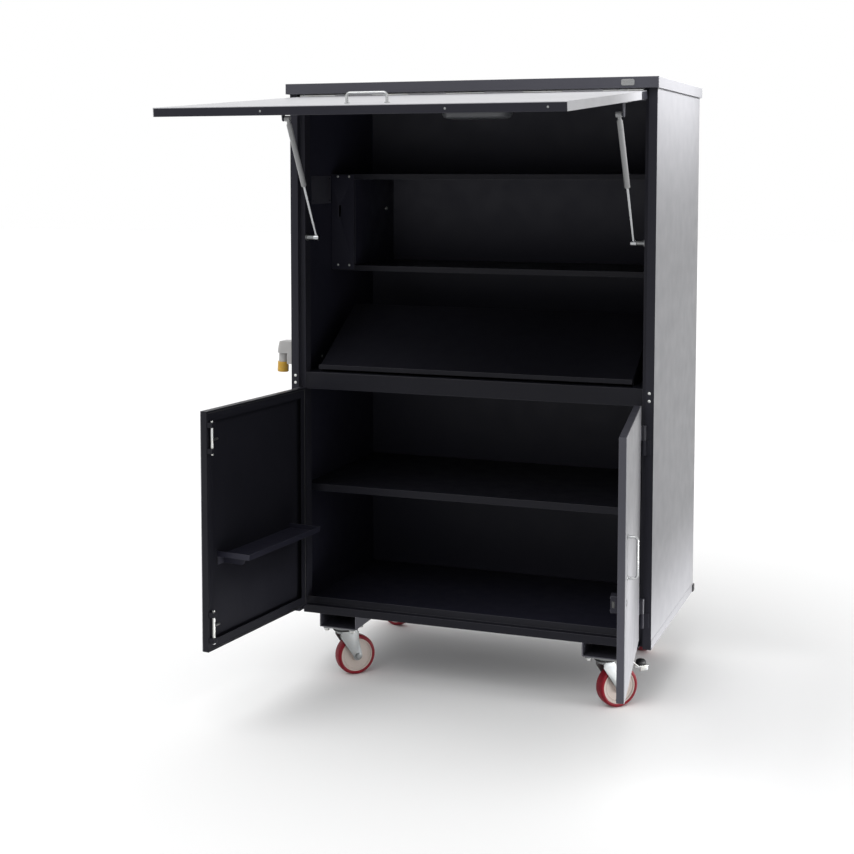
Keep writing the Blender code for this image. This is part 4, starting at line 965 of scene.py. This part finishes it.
@dataclass
class Studio:
    """A pale floor, soft light from the front and above, and the photograph's camera."""

    floor_reach: float = 30.0
    floor_colour: str = "#dedede"
    seen_floor: str = "#ffffff"
    floor_roughness: float = 0.9
    floor_sheen: float = 0.1
    horizon: float = 0.26
    zenith: float = 0.95
    key_strength: float = 1.55
    key_spread: float = math.radians(58.0)
    key_from: Vector = Vector((-0.28, -0.62, 1.0))
    key_distance: float = 5.0
    camera_place: Vector = Vector((1.42464, -4.58559, 1.36772))
    camera_azimuth: float = math.radians(20.786)
    camera_pitch: float = math.radians(4.396)
    lens: float = 64.53
    sensor: float = 36.0
    shift: Point = (0.02615, -0.16270)
    sight: float = 200.0
    softboxes: Sequence[Softbox] = (
        Softbox("high_right_softbox", Vector((1.25, -0.05, 2.05)), Vector((0.56, -0.05, 1.64)),
                width=0.9, height=0.22, power=2.7, spread=math.radians(44.0)),
        Softbox("low_right_softbox", Vector((1.25, -0.30, -0.09)), Vector((0.56, -0.30, -0.02)),
                width=1.5, height=0.10, power=2.5, spread=math.radians(50.0)),
        Softbox("door_softbox", Vector((1.30, -0.86, 0.29)), Vector((0.60, -0.74, 0.27)),
                width=0.22, height=0.16, power=0.36, spread=math.radians(36.0)),
    )

    def build(self) -> None:
        """Lay the floor, light it and set the camera."""
        self.lay_floor()
        self.light_sky()
        self.hang_lamps()
        self.shoot()

    def seen(self, graph: Graph) -> NodeSocket:
        """Tell the rays that show the background from the rays that light the set.

        Args:
            graph: Node tree that gets the nodes.

        Returns:
            1 for camera, glossy and transmission rays, or else 0.
        """
        path = graph.node("ShaderNodeLightPath").outputs
        share = path["Is Camera Ray"]
        for ray in ("Is Glossy Ray", "Is Transmission Ray"):
            share = graph.add("ShaderNodeMath", {0: share, 1: path[ray]}, operation="MAXIMUM")
        return share

    def lay_floor(self) -> None:
        """Lay a pale floor under the wheels, whiter where it is seen than in the light it gives back."""
        level = CAD_BOX[0][2]
        reach = self.floor_reach
        mesh = bpy.data.meshes.new("studio_floor")
        plan = rectangle(-reach, reach, -reach, reach)
        mesh.from_pydata([(x, y, level) for x, y in plan], [], [(0, 1, 2, 3)])
        material = bpy.data.materials.new("Pale_paper_floor")
        material.use_nodes = True
        tree = material.node_tree
        surface = Surface(tree, tree.nodes["Principled BSDF"], self.floor_roughness)
        surface.tint(self.seen(surface), self.floor_colour, self.seen_floor)
        surface.set({"Roughness": self.floor_roughness, "Specular IOR Level": self.floor_sheen})
        mesh.materials.append(material)
        link("studio_floor", mesh)

    def light_sky(self) -> None:
        """Light the set with a sky that dims to its horizon and is plain white where it is seen."""
        world = bpy.data.worlds.new("studio_sky")
        world.use_nodes = True
        bpy.context.scene.world = world
        world.node_tree.nodes.clear()
        sky = Graph(world.node_tree)
        look = sky.add("ShaderNodeTexCoord", {}, "Generated")
        up = sky.add("ShaderNodeSeparateXYZ", {0: look}, "Z")
        dome = sky.add("ShaderNodeMapRange", {"Value": up, "To Min": self.horizon, "To Max": self.zenith})
        ambient, plain = (sky.add("ShaderNodeBackground", {"Color": WHITE, "Strength": strength})
                          for strength in (dome, 1.0))
        mixed = sky.add("ShaderNodeMixShader", {0: self.seen(sky), 1: ambient, 2: plain})
        sky.node("ShaderNodeOutputWorld", {"Surface": mixed})

    def hang_lamps(self) -> None:
        """Hang a wide key lamp, and softboxes on the right."""
        lamp = bpy.data.lights.new("key_lamp", "SUN")
        lamp.energy = self.key_strength
        lamp.angle = self.key_spread
        stand = link("key_lamp", lamp)
        stand.location = self.key_from * self.key_distance
        stand.rotation_euler = self.key_from.to_track_quat("Z", "Y").to_euler()
        for softbox in self.softboxes:
            softbox.hang()

    def shoot(self) -> None:
        """Set the camera that the photograph was taken from."""
        data = bpy.data.cameras.new("photograph_camera")
        data.sensor_width = self.sensor
        data.lens = self.lens
        data.shift_x, data.shift_y = self.shift
        data.clip_end = self.sight
        camera = link("photograph_camera", data)
        camera.location = self.camera_place
        camera.rotation_euler = (QUARTER_TURN - self.camera_pitch, 0.0, self.camera_azimuth)
        bpy.context.scene.camera = camera
        bpy.context.scene.view_settings.view_transform = "Standard"


@dataclass
class Carcass:
    """Outer skins, front frame, floor and skids, with their hems, buffers and rivets."""

    body = "carcass"
    half: float = 0.5625
    front: float = -0.3325
    back: float = 0.3325
    hem_foot: float = 0.0005
    hem_slope: float = 0.0010
    hem_low: float = 0.0012
    hem_height: float = 0.027
    hem_sheet: float = 0.0010
    hem_setback: float = 0.001
    buffer_depth: float = 0.010
    buffer_foot: float = 0.0010
    buffer_height: float = 0.023
    buffer_width: float = 0.034
    buffer_wrap: float = 0.016
    buffer_wall: float = 0.004
    buffer_gap: float = 0.0003
    buffer_side_gap: float = 0.0002
    rivet_x: float = 0.549
    rivet_levels: Point = (0.717, 0.739)
    back_inset: float = 0.014
    back_rows: int = 11
    back_row_margin: float = 0.05
    back_columns: int = 7
    back_column_margin: float = 0.10
    back_foot_row: float = 0.016
    back_head_row: float = 0.050
    frame_rivet = DomeRivet(0.0046, 0.0019)
    back_rivet = DomeRivet()

    def build(self) -> None:
        """Dress the skins and the frame, then add hems, buffers and rivets."""
        # Rounded edges in the calls below take lighter coats: painted highlight.
        for node in ("left_side_panel", "right_side_panel", "back_panel", "roof_cap"):
            refine(node, self.body, SILVER, SILVER_EDGE_HIGHLIGHT)
        refine("top_fascia", self.body, CHARCOAL, CHARCOAL_EDGE_HIGHLIGHT)
        # The stiles take the darker frame copy of the charcoal paint: painted shade.
        for node in ("left_stile", "right_stile"):
            refine(node, self.body, FRAME_SHADE, FRAME_EDGE_HIGHLIGHT_AND_HINGE)
        # Deck and sill take the darkest copy of the charcoal paint: painted shade.
        for node in ("middle_deck", "sill"):
            refine(node, self.body, SHELF_SHADE, FRAME_EDGE_HIGHLIGHT_AND_HINGE)
        # Floor pan and liner take the darker inner copy of the charcoal paint: painted shade.
        for node in ("floor_pan", "inner_liner"):
            refine(node, self.body, INNER_SHADE, INNER_EDGE_HIGHLIGHT, width_mm=0.4)
        for node in ("left_skid", "right_skid"):
            refine(node, self.body, CHARCOAL, CHARCOAL_EDGE_HIGHLIGHT, width_mm=1.2)
        refine("badge_plate", self.body, BRIGHT, width_mm=0.4)
        refine("flap_hinge", self.body, ZINC, width_mm=0.2)
        self.add_hems()
        self.add_buffers()
        self.add_rivets()

    def add_hems(self) -> None:
        """Fold a hem up along the lower edge of each side panel."""
        start, end = self.front + self.hem_setback, self.back - self.hem_setback
        for side in Side:
            inner, outer = side.value * self.half, side.value * (self.half + self.hem_sheet)
            outline = [(inner, self.hem_foot), (outer, self.hem_low),
                       (outer, self.hem_height - self.hem_slope), (inner, self.hem_height)]
            slab(f"{side.word}_side_hem", self.body, outline, start, end, Matrix(), SILVER, width_mm=0.3)

    def add_buffers(self) -> None:
        """Wrap a rubber buffer round each lower corner of the back."""
        upright = Matrix.Rotation(QUARTER_TURN, 4, "X")
        near, far = -self.back + self.buffer_wrap, -self.back - self.buffer_depth
        seat = -self.back - self.buffer_gap
        inner, outer = self.half + self.hem_sheet + self.buffer_side_gap, self.half + self.buffer_wall
        end = self.half - self.buffer_width
        plan = [(inner, near), (outer, near), (outer, far), (end, far), (end, seat), (inner, seat)]
        for side in Side:
            outline = [(side.value * x, y) for x, y in plan]
            slab(f"{side.word}_rear_buffer", self.body, outline, self.buffer_foot, self.buffer_height,
                 upright, BLACK, width_mm=1.0)

    def add_rivets(self) -> None:
        """Rivet the frame at the rail, and the back panel along its edges."""
        places = [(side.value * self.rivet_x, self.front, z) for side in Side for z in self.rivet_levels]
        self.frame_rivet.fit("frame_rivets", self.body, places, AHEAD, ZINC)
        low, high = corners("back_panel")
        rows = spaced(low.z, high.z, self.back_row_margin, self.back_rows)
        columns = spaced(low.x, high.x, self.back_column_margin, self.back_columns)
        edges = (low.x + self.back_inset, high.x - self.back_inset)
        levels = (low.z + self.back_foot_row, high.z - self.back_head_row)
        places = [(x, high.y, z) for x in edges for z in rows]
        places += [(x, high.y, z) for x in columns for z in levels]
        self.back_rivet.fit("back_rivets", self.body, places, BEHIND, ZINC)


@dataclass
class Interior:
    """Shelves, drawing board, service column and lamp."""

    body = "carcass"
    wall: float = 0.5582
    plate_span: Point = (-0.1875, -0.0380)
    plate_rise: Point = (1.262, 1.350)
    plate_sheet: float = 0.0015
    plate_gap: float = 0.0002
    plate_inset: float = 0.009
    cover_columns: Point = (0.0225, 0.0615)
    cover_foot: float = 0.0145
    cover_head: float = 0.0060
    column_bolt_sink: float = 0.004
    column_bolt_at: Point = (0.2615, 1.239)
    wall_bolt_at: Point = (-0.1100, 0.7730)
    plate_screw = PanScrew(0.0030, 0.0013)
    cover_bolt = HexBolt(0.0030, 0.0022, 0.0038)
    column_bolt = HexBolt(0.0050, 0.0032, 0.0065)
    wall_bolt = HexBolt(0.0036, 0.0026, 0.0046)

    def build(self) -> None:
        """Dress the inside and the lamp, and add the cover plate and the screws."""
        # Shelves and board take the darkest copy of the charcoal paint: painted shade.
        for node in ("upper_shelf", "laptop_shelf", "lower_shelf", "drawing_board"):
            refine(node, self.body, SHELF_SHADE, INNER_EDGE_HIGHLIGHT, width_mm=0.6)
        # Column and cover take the darker inner copy of the charcoal paint: painted shade.
        for node in ("service_column", "service_cover"):
            refine(node, self.body, INNER_SHADE, INNER_EDGE_HIGHLIGHT, width_mm=0.5)
        refine("lamp_base", self.body, PALE, width_mm=1.5)
        # The lamp cover is grey instead of opal white: painted shade.
        refine("lamp_diffuser", self.body, LENS, width_mm=0.2)
        self.add_wall_plate()
        self.add_bolts()

    def add_wall_plate(self) -> None:
        """Close the cable hole in the left wall with a screwed plate."""
        turn = Matrix.Rotation(QUARTER_TURN, 4, "Z")
        outline = rectangle(*self.plate_span, *self.plate_rise)
        start, end = self.wall - self.plate_sheet - self.plate_gap, self.wall - self.plate_gap
        slab("wall_cover_plate", self.body, outline, start, end, turn, CHARCOAL, width_mm=0.4)
        across, up = ((low + self.plate_inset, high - self.plate_inset)
                      for low, high in (self.plate_span, self.plate_rise))
        places = [(-start, y, z) for y in across for z in up]
        # The plate screws take the darker frame copy of the charcoal paint: painted shade.
        self.plate_screw.fit("wall_plate_screws", self.body, places, RIGHTWARD, FRAME_SHADE)

    def add_bolts(self) -> None:
        """Bolt the service cover, the column and the left wall."""
        low, high = corners("service_cover")
        places = [(low.x + across, low.y, z) for across in self.cover_columns
                  for z in (low.z + self.cover_foot, high.z - self.cover_head)]
        self.cover_bolt.fit("service_cover_bolts", self.body, places, AHEAD, ZINC)
        face = corners("service_column")[1].x - self.column_bolt_sink
        self.column_bolt.fit("column_bolt", self.body, [(face, *self.column_bolt_at)], RIGHTWARD, ZINC)
        self.wall_bolt.fit("wall_bolt", self.body, [(-self.wall, *self.wall_bolt_at)], RIGHTWARD, ZINC)


@dataclass
class PowerInlet:
    """Inlet housing on the left side, with the coloured sleeve that its hinged lid shuts."""

    body = "carcass"
    lid_body = "inlet_lid"
    seat: Vector = Vector((-0.6099, -0.2875, 0.8070))
    tilt: float = math.radians(2.6)
    sleeve_radius: float = 0.0165
    sleeve_start: float = 0.0325
    sleeve_end: float = 0.0485
    sleeve_wall: float = 0.0025
    sleeve_round: float = 0.0005
    mouth_wall: float = 0.0008
    skin: float = 0.0003
    box_face: float = -0.5878
    screw_level: float = 0.7865
    screw_spread: float = 0.0165
    screw = PanScrew(0.0036, 0.0016)

    def build(self) -> None:
        """Dress the housing and its lid, colour the sleeve and screw the housing on."""
        refine("inlet_housing", self.body, PALE, width_mm=1.0)
        refine("inlet_cover", self.lid_body, YELLOW, width_mm=0.6)
        aim = Vector((-math.sin(self.tilt), 0.0, -math.cos(self.tilt)))
        place = aimed(self.seat, aim)
        outer = self.sleeve_radius + self.skin
        start, end = self.sleeve_start - self.skin, self.sleeve_end - self.skin
        edge = self.sleeve_round
        profile = [(outer - self.sleeve_wall, start), (outer - edge, start), (outer, start + edge),
                   (outer, end), (outer - self.mouth_wall, end)]
        lathe("inlet_sleeve", self.body, profile, place, YELLOW, steps=40)
        columns = [self.seat.y + side.value * self.screw_spread for side in Side]
        places = [(self.box_face, y, self.screw_level) for y in columns]
        self.screw.fit("inlet_screws", self.body, places, LEFTWARD, ZINC)


@dataclass
class Castor:
    """One castor: bolted plate, swivel seal, fork and a tyred wheel."""

    name: str
    roll_axis: Vector
    bolt_spread: Point = (0.043, 0.033)
    plate: float = 0.004
    cup: float = 0.031
    cup_height: float = 0.012
    seal_lift: float = 0.0006
    radius: float = 0.0625
    half_width: float = 0.018
    rim: float = 0.0510
    web_depth: float = 0.0058
    bolt = HexBolt(0.0085, 0.0090, 0.0105)
    seal: Outline = ((-0.0006, 0.0), (0.0014, 0.0), (0.0022, 0.0014), (0.0016, 0.0036), (-0.0006, 0.0042))
    tyre_foot: Outline = ((-0.0006, 0.0030), (0.0012, 0.0010), (0.0040, 0.0))
    tyre_tread: Outline = ((-0.0042, 0.0010), (-0.0014, 0.0040), (-0.0003, 0.0085), (0.0, 0.0140))
    hub_boss: Outline = ((0.0066, -0.0019), (0.0160, -0.0019), (0.0170, -0.0012))
    hub_root: Outline = ((0.0182, -0.0006), (0.0200, 0.0))
    hub_bead: Outline = ((-0.0120, 0.0), (-0.0112, -0.0010), (-0.0098, -0.0010), (-0.0090, 0.0),
                         (-0.0046, 0.0))
    hub_lip: Outline = ((-0.0034, 0.0036), (-0.0024, 0.0020), (0.0, 0.0018))

    def build(self) -> None:
        """Dress plate and fork, bolt the plate, seal the swivel and build the wheel."""
        refine(f"{self.name}_castor_plate", "carcass", DULL, width_mm=0.6)
        refine(f"{self.name}_fork", f"{self.name}_fork_body", DULL, width_mm=0.6)
        low, high = corners(f"{self.name}_castor_plate")
        middle = (low + high) / 2
        under = high.z - self.plate
        across, along = self.bolt_spread
        signs = (-1, 1)
        places = [(middle.x + sx * across, middle.y + sy * along, under) for sx in signs for sy in signs]
        self.bolt.fit(f"{self.name}_plate_bolts", "carcass", places, DOWNWARD, ZINC)
        profile = shifted(self.seal, self.cup, -self.cup_height + self.seal_lift)
        stand = Matrix.Translation((middle.x, middle.y, under)) @ Matrix.Rotation(QUARTER_TURN, 4, "X")
        lathe(f"{self.name}_swivel_seal", "carcass", profile, stand, BLACK, steps=48)
        self.build_wheel()

    def axle(self) -> Matrix:
        """Return the matrix from the wheel's own frame, turning about Y, to its place."""
        low, high = corners(f"{self.name}_wheel")
        return aimed((low + high) / 2, self.roll_axis)

    def build_wheel(self) -> None:
        """Cast the tyre on a nylon hub with a bead inside its rim."""
        body = f"{self.name}_wheel_body"
        place = self.axle()
        face, rim = -self.half_width, self.rim
        web = face + self.web_depth
        tyre = shifted(self.tyre_foot, rim, face) + shifted(self.tyre_tread, self.radius, face)
        lathe(f"{self.name}_tyre", body, mirrored(tyre), place, TYRE, f"{self.name}_wheel", steps=64)
        hub = shifted(self.hub_boss, 0.0, face) + shifted(self.hub_root, 0.0, web)
        hub += shifted(self.hub_bead, rim, web) + shifted(self.hub_lip, rim, face)
        lathe(f"{self.name}_hub", body, mirrored(hub), place, NYLON, steps=64)


class Brake:
    """Foot lever of the braked castor, with its pad."""

    body = "brake"

    def build(self) -> None:
        """Dress the lever and the pad."""
        refine("front_right_brake_lever", self.body, ZINC, width_mm=0.5)
        refine("front_right_brake_pad", self.body, BLACK, width_mm=1.2)


@dataclass
class Handle:
    """A bent bar handle with a rose on each foot."""

    node: str
    body: str
    middle: Vector
    along: Vector
    out: Vector
    span: float = 0.106
    gap: float = 0.0003
    radius: float = 0.0036
    rise: float = 0.0249
    bend: float = 0.009
    rose_radius: float = 0.0075
    rose_height: float = 0.0020
    rose_rim: float = 0.45
    rose_slope: float = 0.0016
    rose_overlap: float = 0.0006

    def build(self) -> None:
        """Bend the bar and turn a rose around each foot."""
        seat, half = self.middle + self.out * self.gap, self.along * self.span / 2
        first, last = seat - half, seat + half
        reach = self.out * self.rise
        line = [first, first + reach, last + reach, last]
        bend_bar(f"{self.node}_bar", self.body, line, self.radius, self.bend, POLISHED, self.node)
        bore, r, h = self.radius - self.rose_overlap, self.rose_radius, self.rose_height
        profile = [(bore, 0.0), (r, 0.0), (r, h * self.rose_rim), (r - self.rose_slope, h), (bore, h)]
        for word, foot in (("first", first), ("last", last)):
            lathe(f"{self.node}_{word}_rose", self.body, profile, aimed(foot, self.out), POLISHED)


@dataclass
class Flap:
    """Lift-up flap, drawn shut in its own frame on the hinge axis and placed as it stands open."""

    body = "flap"
    axis: Vector = Vector((0.0, -0.3375, 1.5915))
    opened: float = math.radians(85.7)
    outer: float = 0.0025
    inner: float = 0.0255
    length: float = 0.868
    half: float = 0.5350
    handle_from_edge: float = 0.110
    bracket_x: float = 0.5140
    bracket_along: float = 0.168
    bracket_foot: float = 0.0033
    bracket_rivets: Point = (-0.008, 0.008)
    edge_rivets: Sequence[float] = (-0.237, 0.240, 0.488)
    edge_rivet_depth: float = 0.0150
    end_cap: Point = (0.0065, 0.0760)
    end_cap_sheet: float = 0.0005
    end_cap_gap: float = 0.0002
    end_cap_inset: float = 0.0006
    bracket_rivet = DomeRivet(0.0034, 0.0015)
    edge_rivet = DomeRivet(0.0030, 0.0012)

    @property
    def place(self) -> Matrix:
        """Matrix from the shut flap's frame to its place."""
        return Matrix.Translation(self.axis) @ Matrix.Rotation(-self.opened, 4, "X")

    def build(self) -> None:
        """Dress skin, pan and brackets, and add the handle, the rivets and the end caps."""
        place = self.place
        turn = place.to_3x3()
        down = turn @ BEHIND
        # The flap's skin takes the lighter copy of the silver paint: a painted highlight on its upturned
        # face.
        refine("flap_skin", self.body, SILVER_SATIN_HIGHLIGHT, SILVER_EDGE_HIGHLIGHT)
        # The pan takes the darker frame copy of the charcoal, and its faces that look down take the darker
        # inner copy: painted shade.
        refine("flap_pan", self.body, FRAME_SHADE, FRAME_EDGE_HIGHLIGHT_AND_HINGE, width_mm=0.6, inner=(INNER_SHADE, down))
        for side in Side:
            refine(f"{side.word}_strut_bracket", self.body, CHARCOAL, CHARCOAL_EDGE_HIGHLIGHT, width_mm=0.5)
        middle = place @ Vector((0.0, self.outer, -self.length + self.handle_from_edge))
        Handle("flap_handle", self.body, middle, turn @ RIGHTWARD, turn @ AHEAD).build()
        under = self.inner + self.bracket_foot
        places = [place @ Vector((side.value * self.bracket_x, under, -self.bracket_along + rise))
                  for side in Side for rise in self.bracket_rivets]
        self.bracket_rivet.fit("bracket_rivets", self.body, places, down, ZINC)
        places = [place @ Vector((x, self.edge_rivet_depth, -self.length)) for x in self.edge_rivets]
        self.edge_rivet.fit("flap_edge_rivets", self.body, places, turn @ DOWNWARD, DULL)
        self.cap_ends()

    def cap_ends(self) -> None:
        """Lay a thin dark sheet on each end of the flap beside the hinge, over the part of the end that
        shows dark.
        """
        first, last = self.end_cap
        start = self.half + self.end_cap_gap
        near, far = self.outer + self.end_cap_inset, self.inner - self.end_cap_inset
        for side in Side:
            faces = sorted(side.value * x for x in (start, start + self.end_cap_sheet))
            outline = rectangle(*faces, -last, -first)
            slab(f"{side.word}_flap_end_cap", self.body, outline, near, far, self.place, FRAME_SHADE,
                 width_mm=0.15)


@dataclass
class GasStrut:
    """A gas strut between the stile and the flap."""

    side: Side

    def build(self) -> None:
        """Dress stud, rod and cylinder."""
        word = self.side.word
        refine(f"{word}_strut_stud", "carcass", DULL, width_mm=0.3)
        refine(f"{word}_strut_rod", f"{word}_strut_lower", ROD, width_mm=0.2)
        refine(f"{word}_strut_cylinder", f"{word}_strut_upper", STRUT, width_mm=0.3)


@dataclass
class Door(ABC):
    """A lower door, drawn shut in its own frame on the hinge axis and placed as it stands open."""

    side: Side
    opened: float
    axis_x: float = 0.537
    axis_y: float = -0.3395
    outer: float = 0.008
    inner: float = 0.029
    low: float = 0.027
    high: float = 0.705
    width: float = 0.535
    hinge_proud: float = 0.0008
    seal_radius: float = 0.0010
    seal_bend: float = 0.004
    seal_stand: float = 0.0005
    seal_inset: float = 0.006
    seal_ends: Point = (0.012, 0.004)
    coats: tuple[Finish, Finish] = (CHARCOAL, CHARCOAL_EDGE_HIGHLIGHT)
    # The panel coat on the faces that look into the cabinet is a darker copy of the charcoal paint:
    # painted shade.
    panel: Finish = INNER_SHADE

    @property
    def body(self) -> str:
        """The door's body and the start of its nodes' names."""
        return f"{self.side.word}_door"

    @property
    def place(self) -> Matrix:
        """Matrix from the shut door's frame to its place."""
        hinge = Matrix.Translation((self.side.value * self.axis_x, self.axis_y, 0.0))
        return hinge @ Matrix.Rotation(self.side.value * self.opened, 4, "Z")

    @property
    def outward(self) -> Vector:
        """Direction in which the door's outer face looks."""
        return self.place.to_3x3() @ AHEAD

    def at(self, along: float, out: float, up: float) -> Vector:
        """Place of a point by its distance from the hinge, its depth and its height."""
        return self.place @ Vector((-self.side.value * along, out, up))

    def build(self) -> None:
        """Dress the skin and the pan, seal the rim and add the door's own hardware."""
        back = self.place.inverted()
        # The hinge leaves of the door skin take this coat as their own charcoal paint; elsewhere it is the
        # painted edge highlight.
        hinge = (FRAME_EDGE_HIGHLIGHT_AND_HINGE, lambda middle: (back @ middle).y < self.outer - self.hinge_proud)
        refine(f"{self.body}_skin", self.body, SILVER, SILVER_EDGE_HIGHLIGHT, width_mm=0.6, patch=hinge)
        # Faces that look into the cabinet take the darker panel coat: painted shade.
        panel = (self.panel, -self.outward)
        refine(f"{self.body}_pan", self.body, *self.coats, width_mm=0.6, inner=panel)
        depth = self.inner + self.seal_stand
        near, far = self.seal_ends[0], self.width - self.seal_ends[1]
        foot, head = self.low + self.seal_inset, self.high - self.seal_inset
        places = ((far, foot), (near, foot), (near, head), (far, head))
        line = [self.at(along, depth, up) for along, up in places]
        bend_bar(f"{self.body}_seal", self.body, line, self.seal_radius, self.seal_bend, BLACK)
        self.furnish()

    @abstractmethod
    def furnish(self) -> None:
        """Add the door's own hardware."""


@dataclass
class LeftDoor(Door):
    """Left door with its tray and slide bolts."""

    # The left door's pan, edges and panel take darker copies of the charcoal paint than the right door's:
    # painted shade on the door that faces away from the light.
    coats: tuple[Finish, Finish] = (SHELF_SHADE, INNER_SHADE)
    panel: Finish = SHELF_SHADE
    rivet_places: Sequence[float] = (0.14, 0.27, 0.40)
    rivet_depth: float = 0.0146
    rivet_level: float = 0.267
    rivet = DomeRivet(0.0036, 0.0015)

    def furnish(self) -> None:
        """Dress the tray and the slide bolts and rivet the tray on."""
        # The tray takes the darker inner copy of the charcoal paint: painted shade.
        refine("door_tray", self.body, INNER_SHADE, INNER_EDGE_HIGHLIGHT, width_mm=0.6)
        refine("top_slide_bolt", "top_bolt", ZINC, width_mm=0.4)
        refine("bottom_slide_bolt", "bottom_bolt", ZINC, width_mm=0.4)
        places = [self.at(along, self.rivet_depth, self.rivet_level) for along in self.rivet_places]
        self.rivet.fit("tray_rivets", self.body, places, -self.outward, ZINC)


@dataclass
class RightDoor(Door):
    """Right door with its handle, lock case and keyhole."""

    handle_along: float = 0.483
    handle_level: float = 0.390
    lock_along: float = 0.514
    lock_level: float = 0.279
    lock_depth: float = 0.0173
    screw_across: Point = (-0.012, 0.012)
    screw_rise: Point = (-0.0165, 0.0165)
    key_shift: float = 0.006
    key_gap: float = 0.0001
    key_slot_half: Point = (0.0008, 0.0040)
    key_slot_depth: Point = (0.0004, 0.0010)
    screw = PanScrew(0.0028, 0.0013)
    key_rose: Outline = ((0.0012, 0.0), (0.0090, 0.0), (0.0090, 0.0005), (0.0082, 0.0012),
                         (0.0064, 0.0014), (0.0060, 0.0008), (0.0012, 0.0008))

    def furnish(self) -> None:
        """Bend the handle, dress the lock and set the key cylinder."""
        middle = self.at(self.handle_along, self.outer, self.handle_level)
        Handle("right_door_handle", self.body, middle, -DOWNWARD, self.outward).build()
        # The lock case takes the darker frame copy of the charcoal paint: painted shade.
        refine("lock_case", self.body, FRAME_SHADE, FRAME_EDGE_HIGHLIGHT_AND_HINGE, width_mm=0.8)
        refine("lock_bolt", "lock_tongue", TONGUE, width_mm=0.5)
        depth = self.inner + self.lock_depth
        places = [self.at(self.lock_along + across, depth, self.lock_level + rise)
                  for across in self.screw_across for rise in self.screw_rise]
        self.screw.fit("lock_screws", self.body, places, -self.outward, CHARCOAL)
        key = self.at(self.lock_along - self.key_shift, self.outer - self.key_gap, self.lock_level)
        place = aimed(key, self.outward)
        lathe("key_cylinder_rose", self.body, self.key_rose, place, DULL)
        # A black slab fills the keyway: painted shade in the key hole.
        across, rise = self.key_slot_half
        outline = rectangle(-across, across, -rise, rise)
        slab("key_slot_painted_shade", self.body, outline, *self.key_slot_depth, place, BLACK, width_mm=0.2)


def main() -> None:
    """Build the studio and every sub-assembly in order."""
    logging.basicConfig(level=logging.INFO, format="%(name)s: %(message)s")
    axes = {joint["name"]: Vector(joint["axis"]) for joint in frame["joints"]}
    rolls = {name: axis for name, axis in axes.items() if name.endswith("_roll")}
    assemblies = [Studio(), Carcass(), Interior(), PowerInlet()]
    assemblies += [Castor(name.removesuffix("_roll"), axis) for name, axis in rolls.items()]
    assemblies += [Brake(), Flap()]
    assemblies += [GasStrut(side) for side in Side]
    assemblies += [LeftDoor(Side.LEFT, math.radians(96.5)), RightDoor(Side.RIGHT, math.radians(98.3))]
    for assembly in assemblies:
        assembly.build()
        LOG.info("%s is built", type(assembly).__name__)


if __name__ == "__main__":
    main()
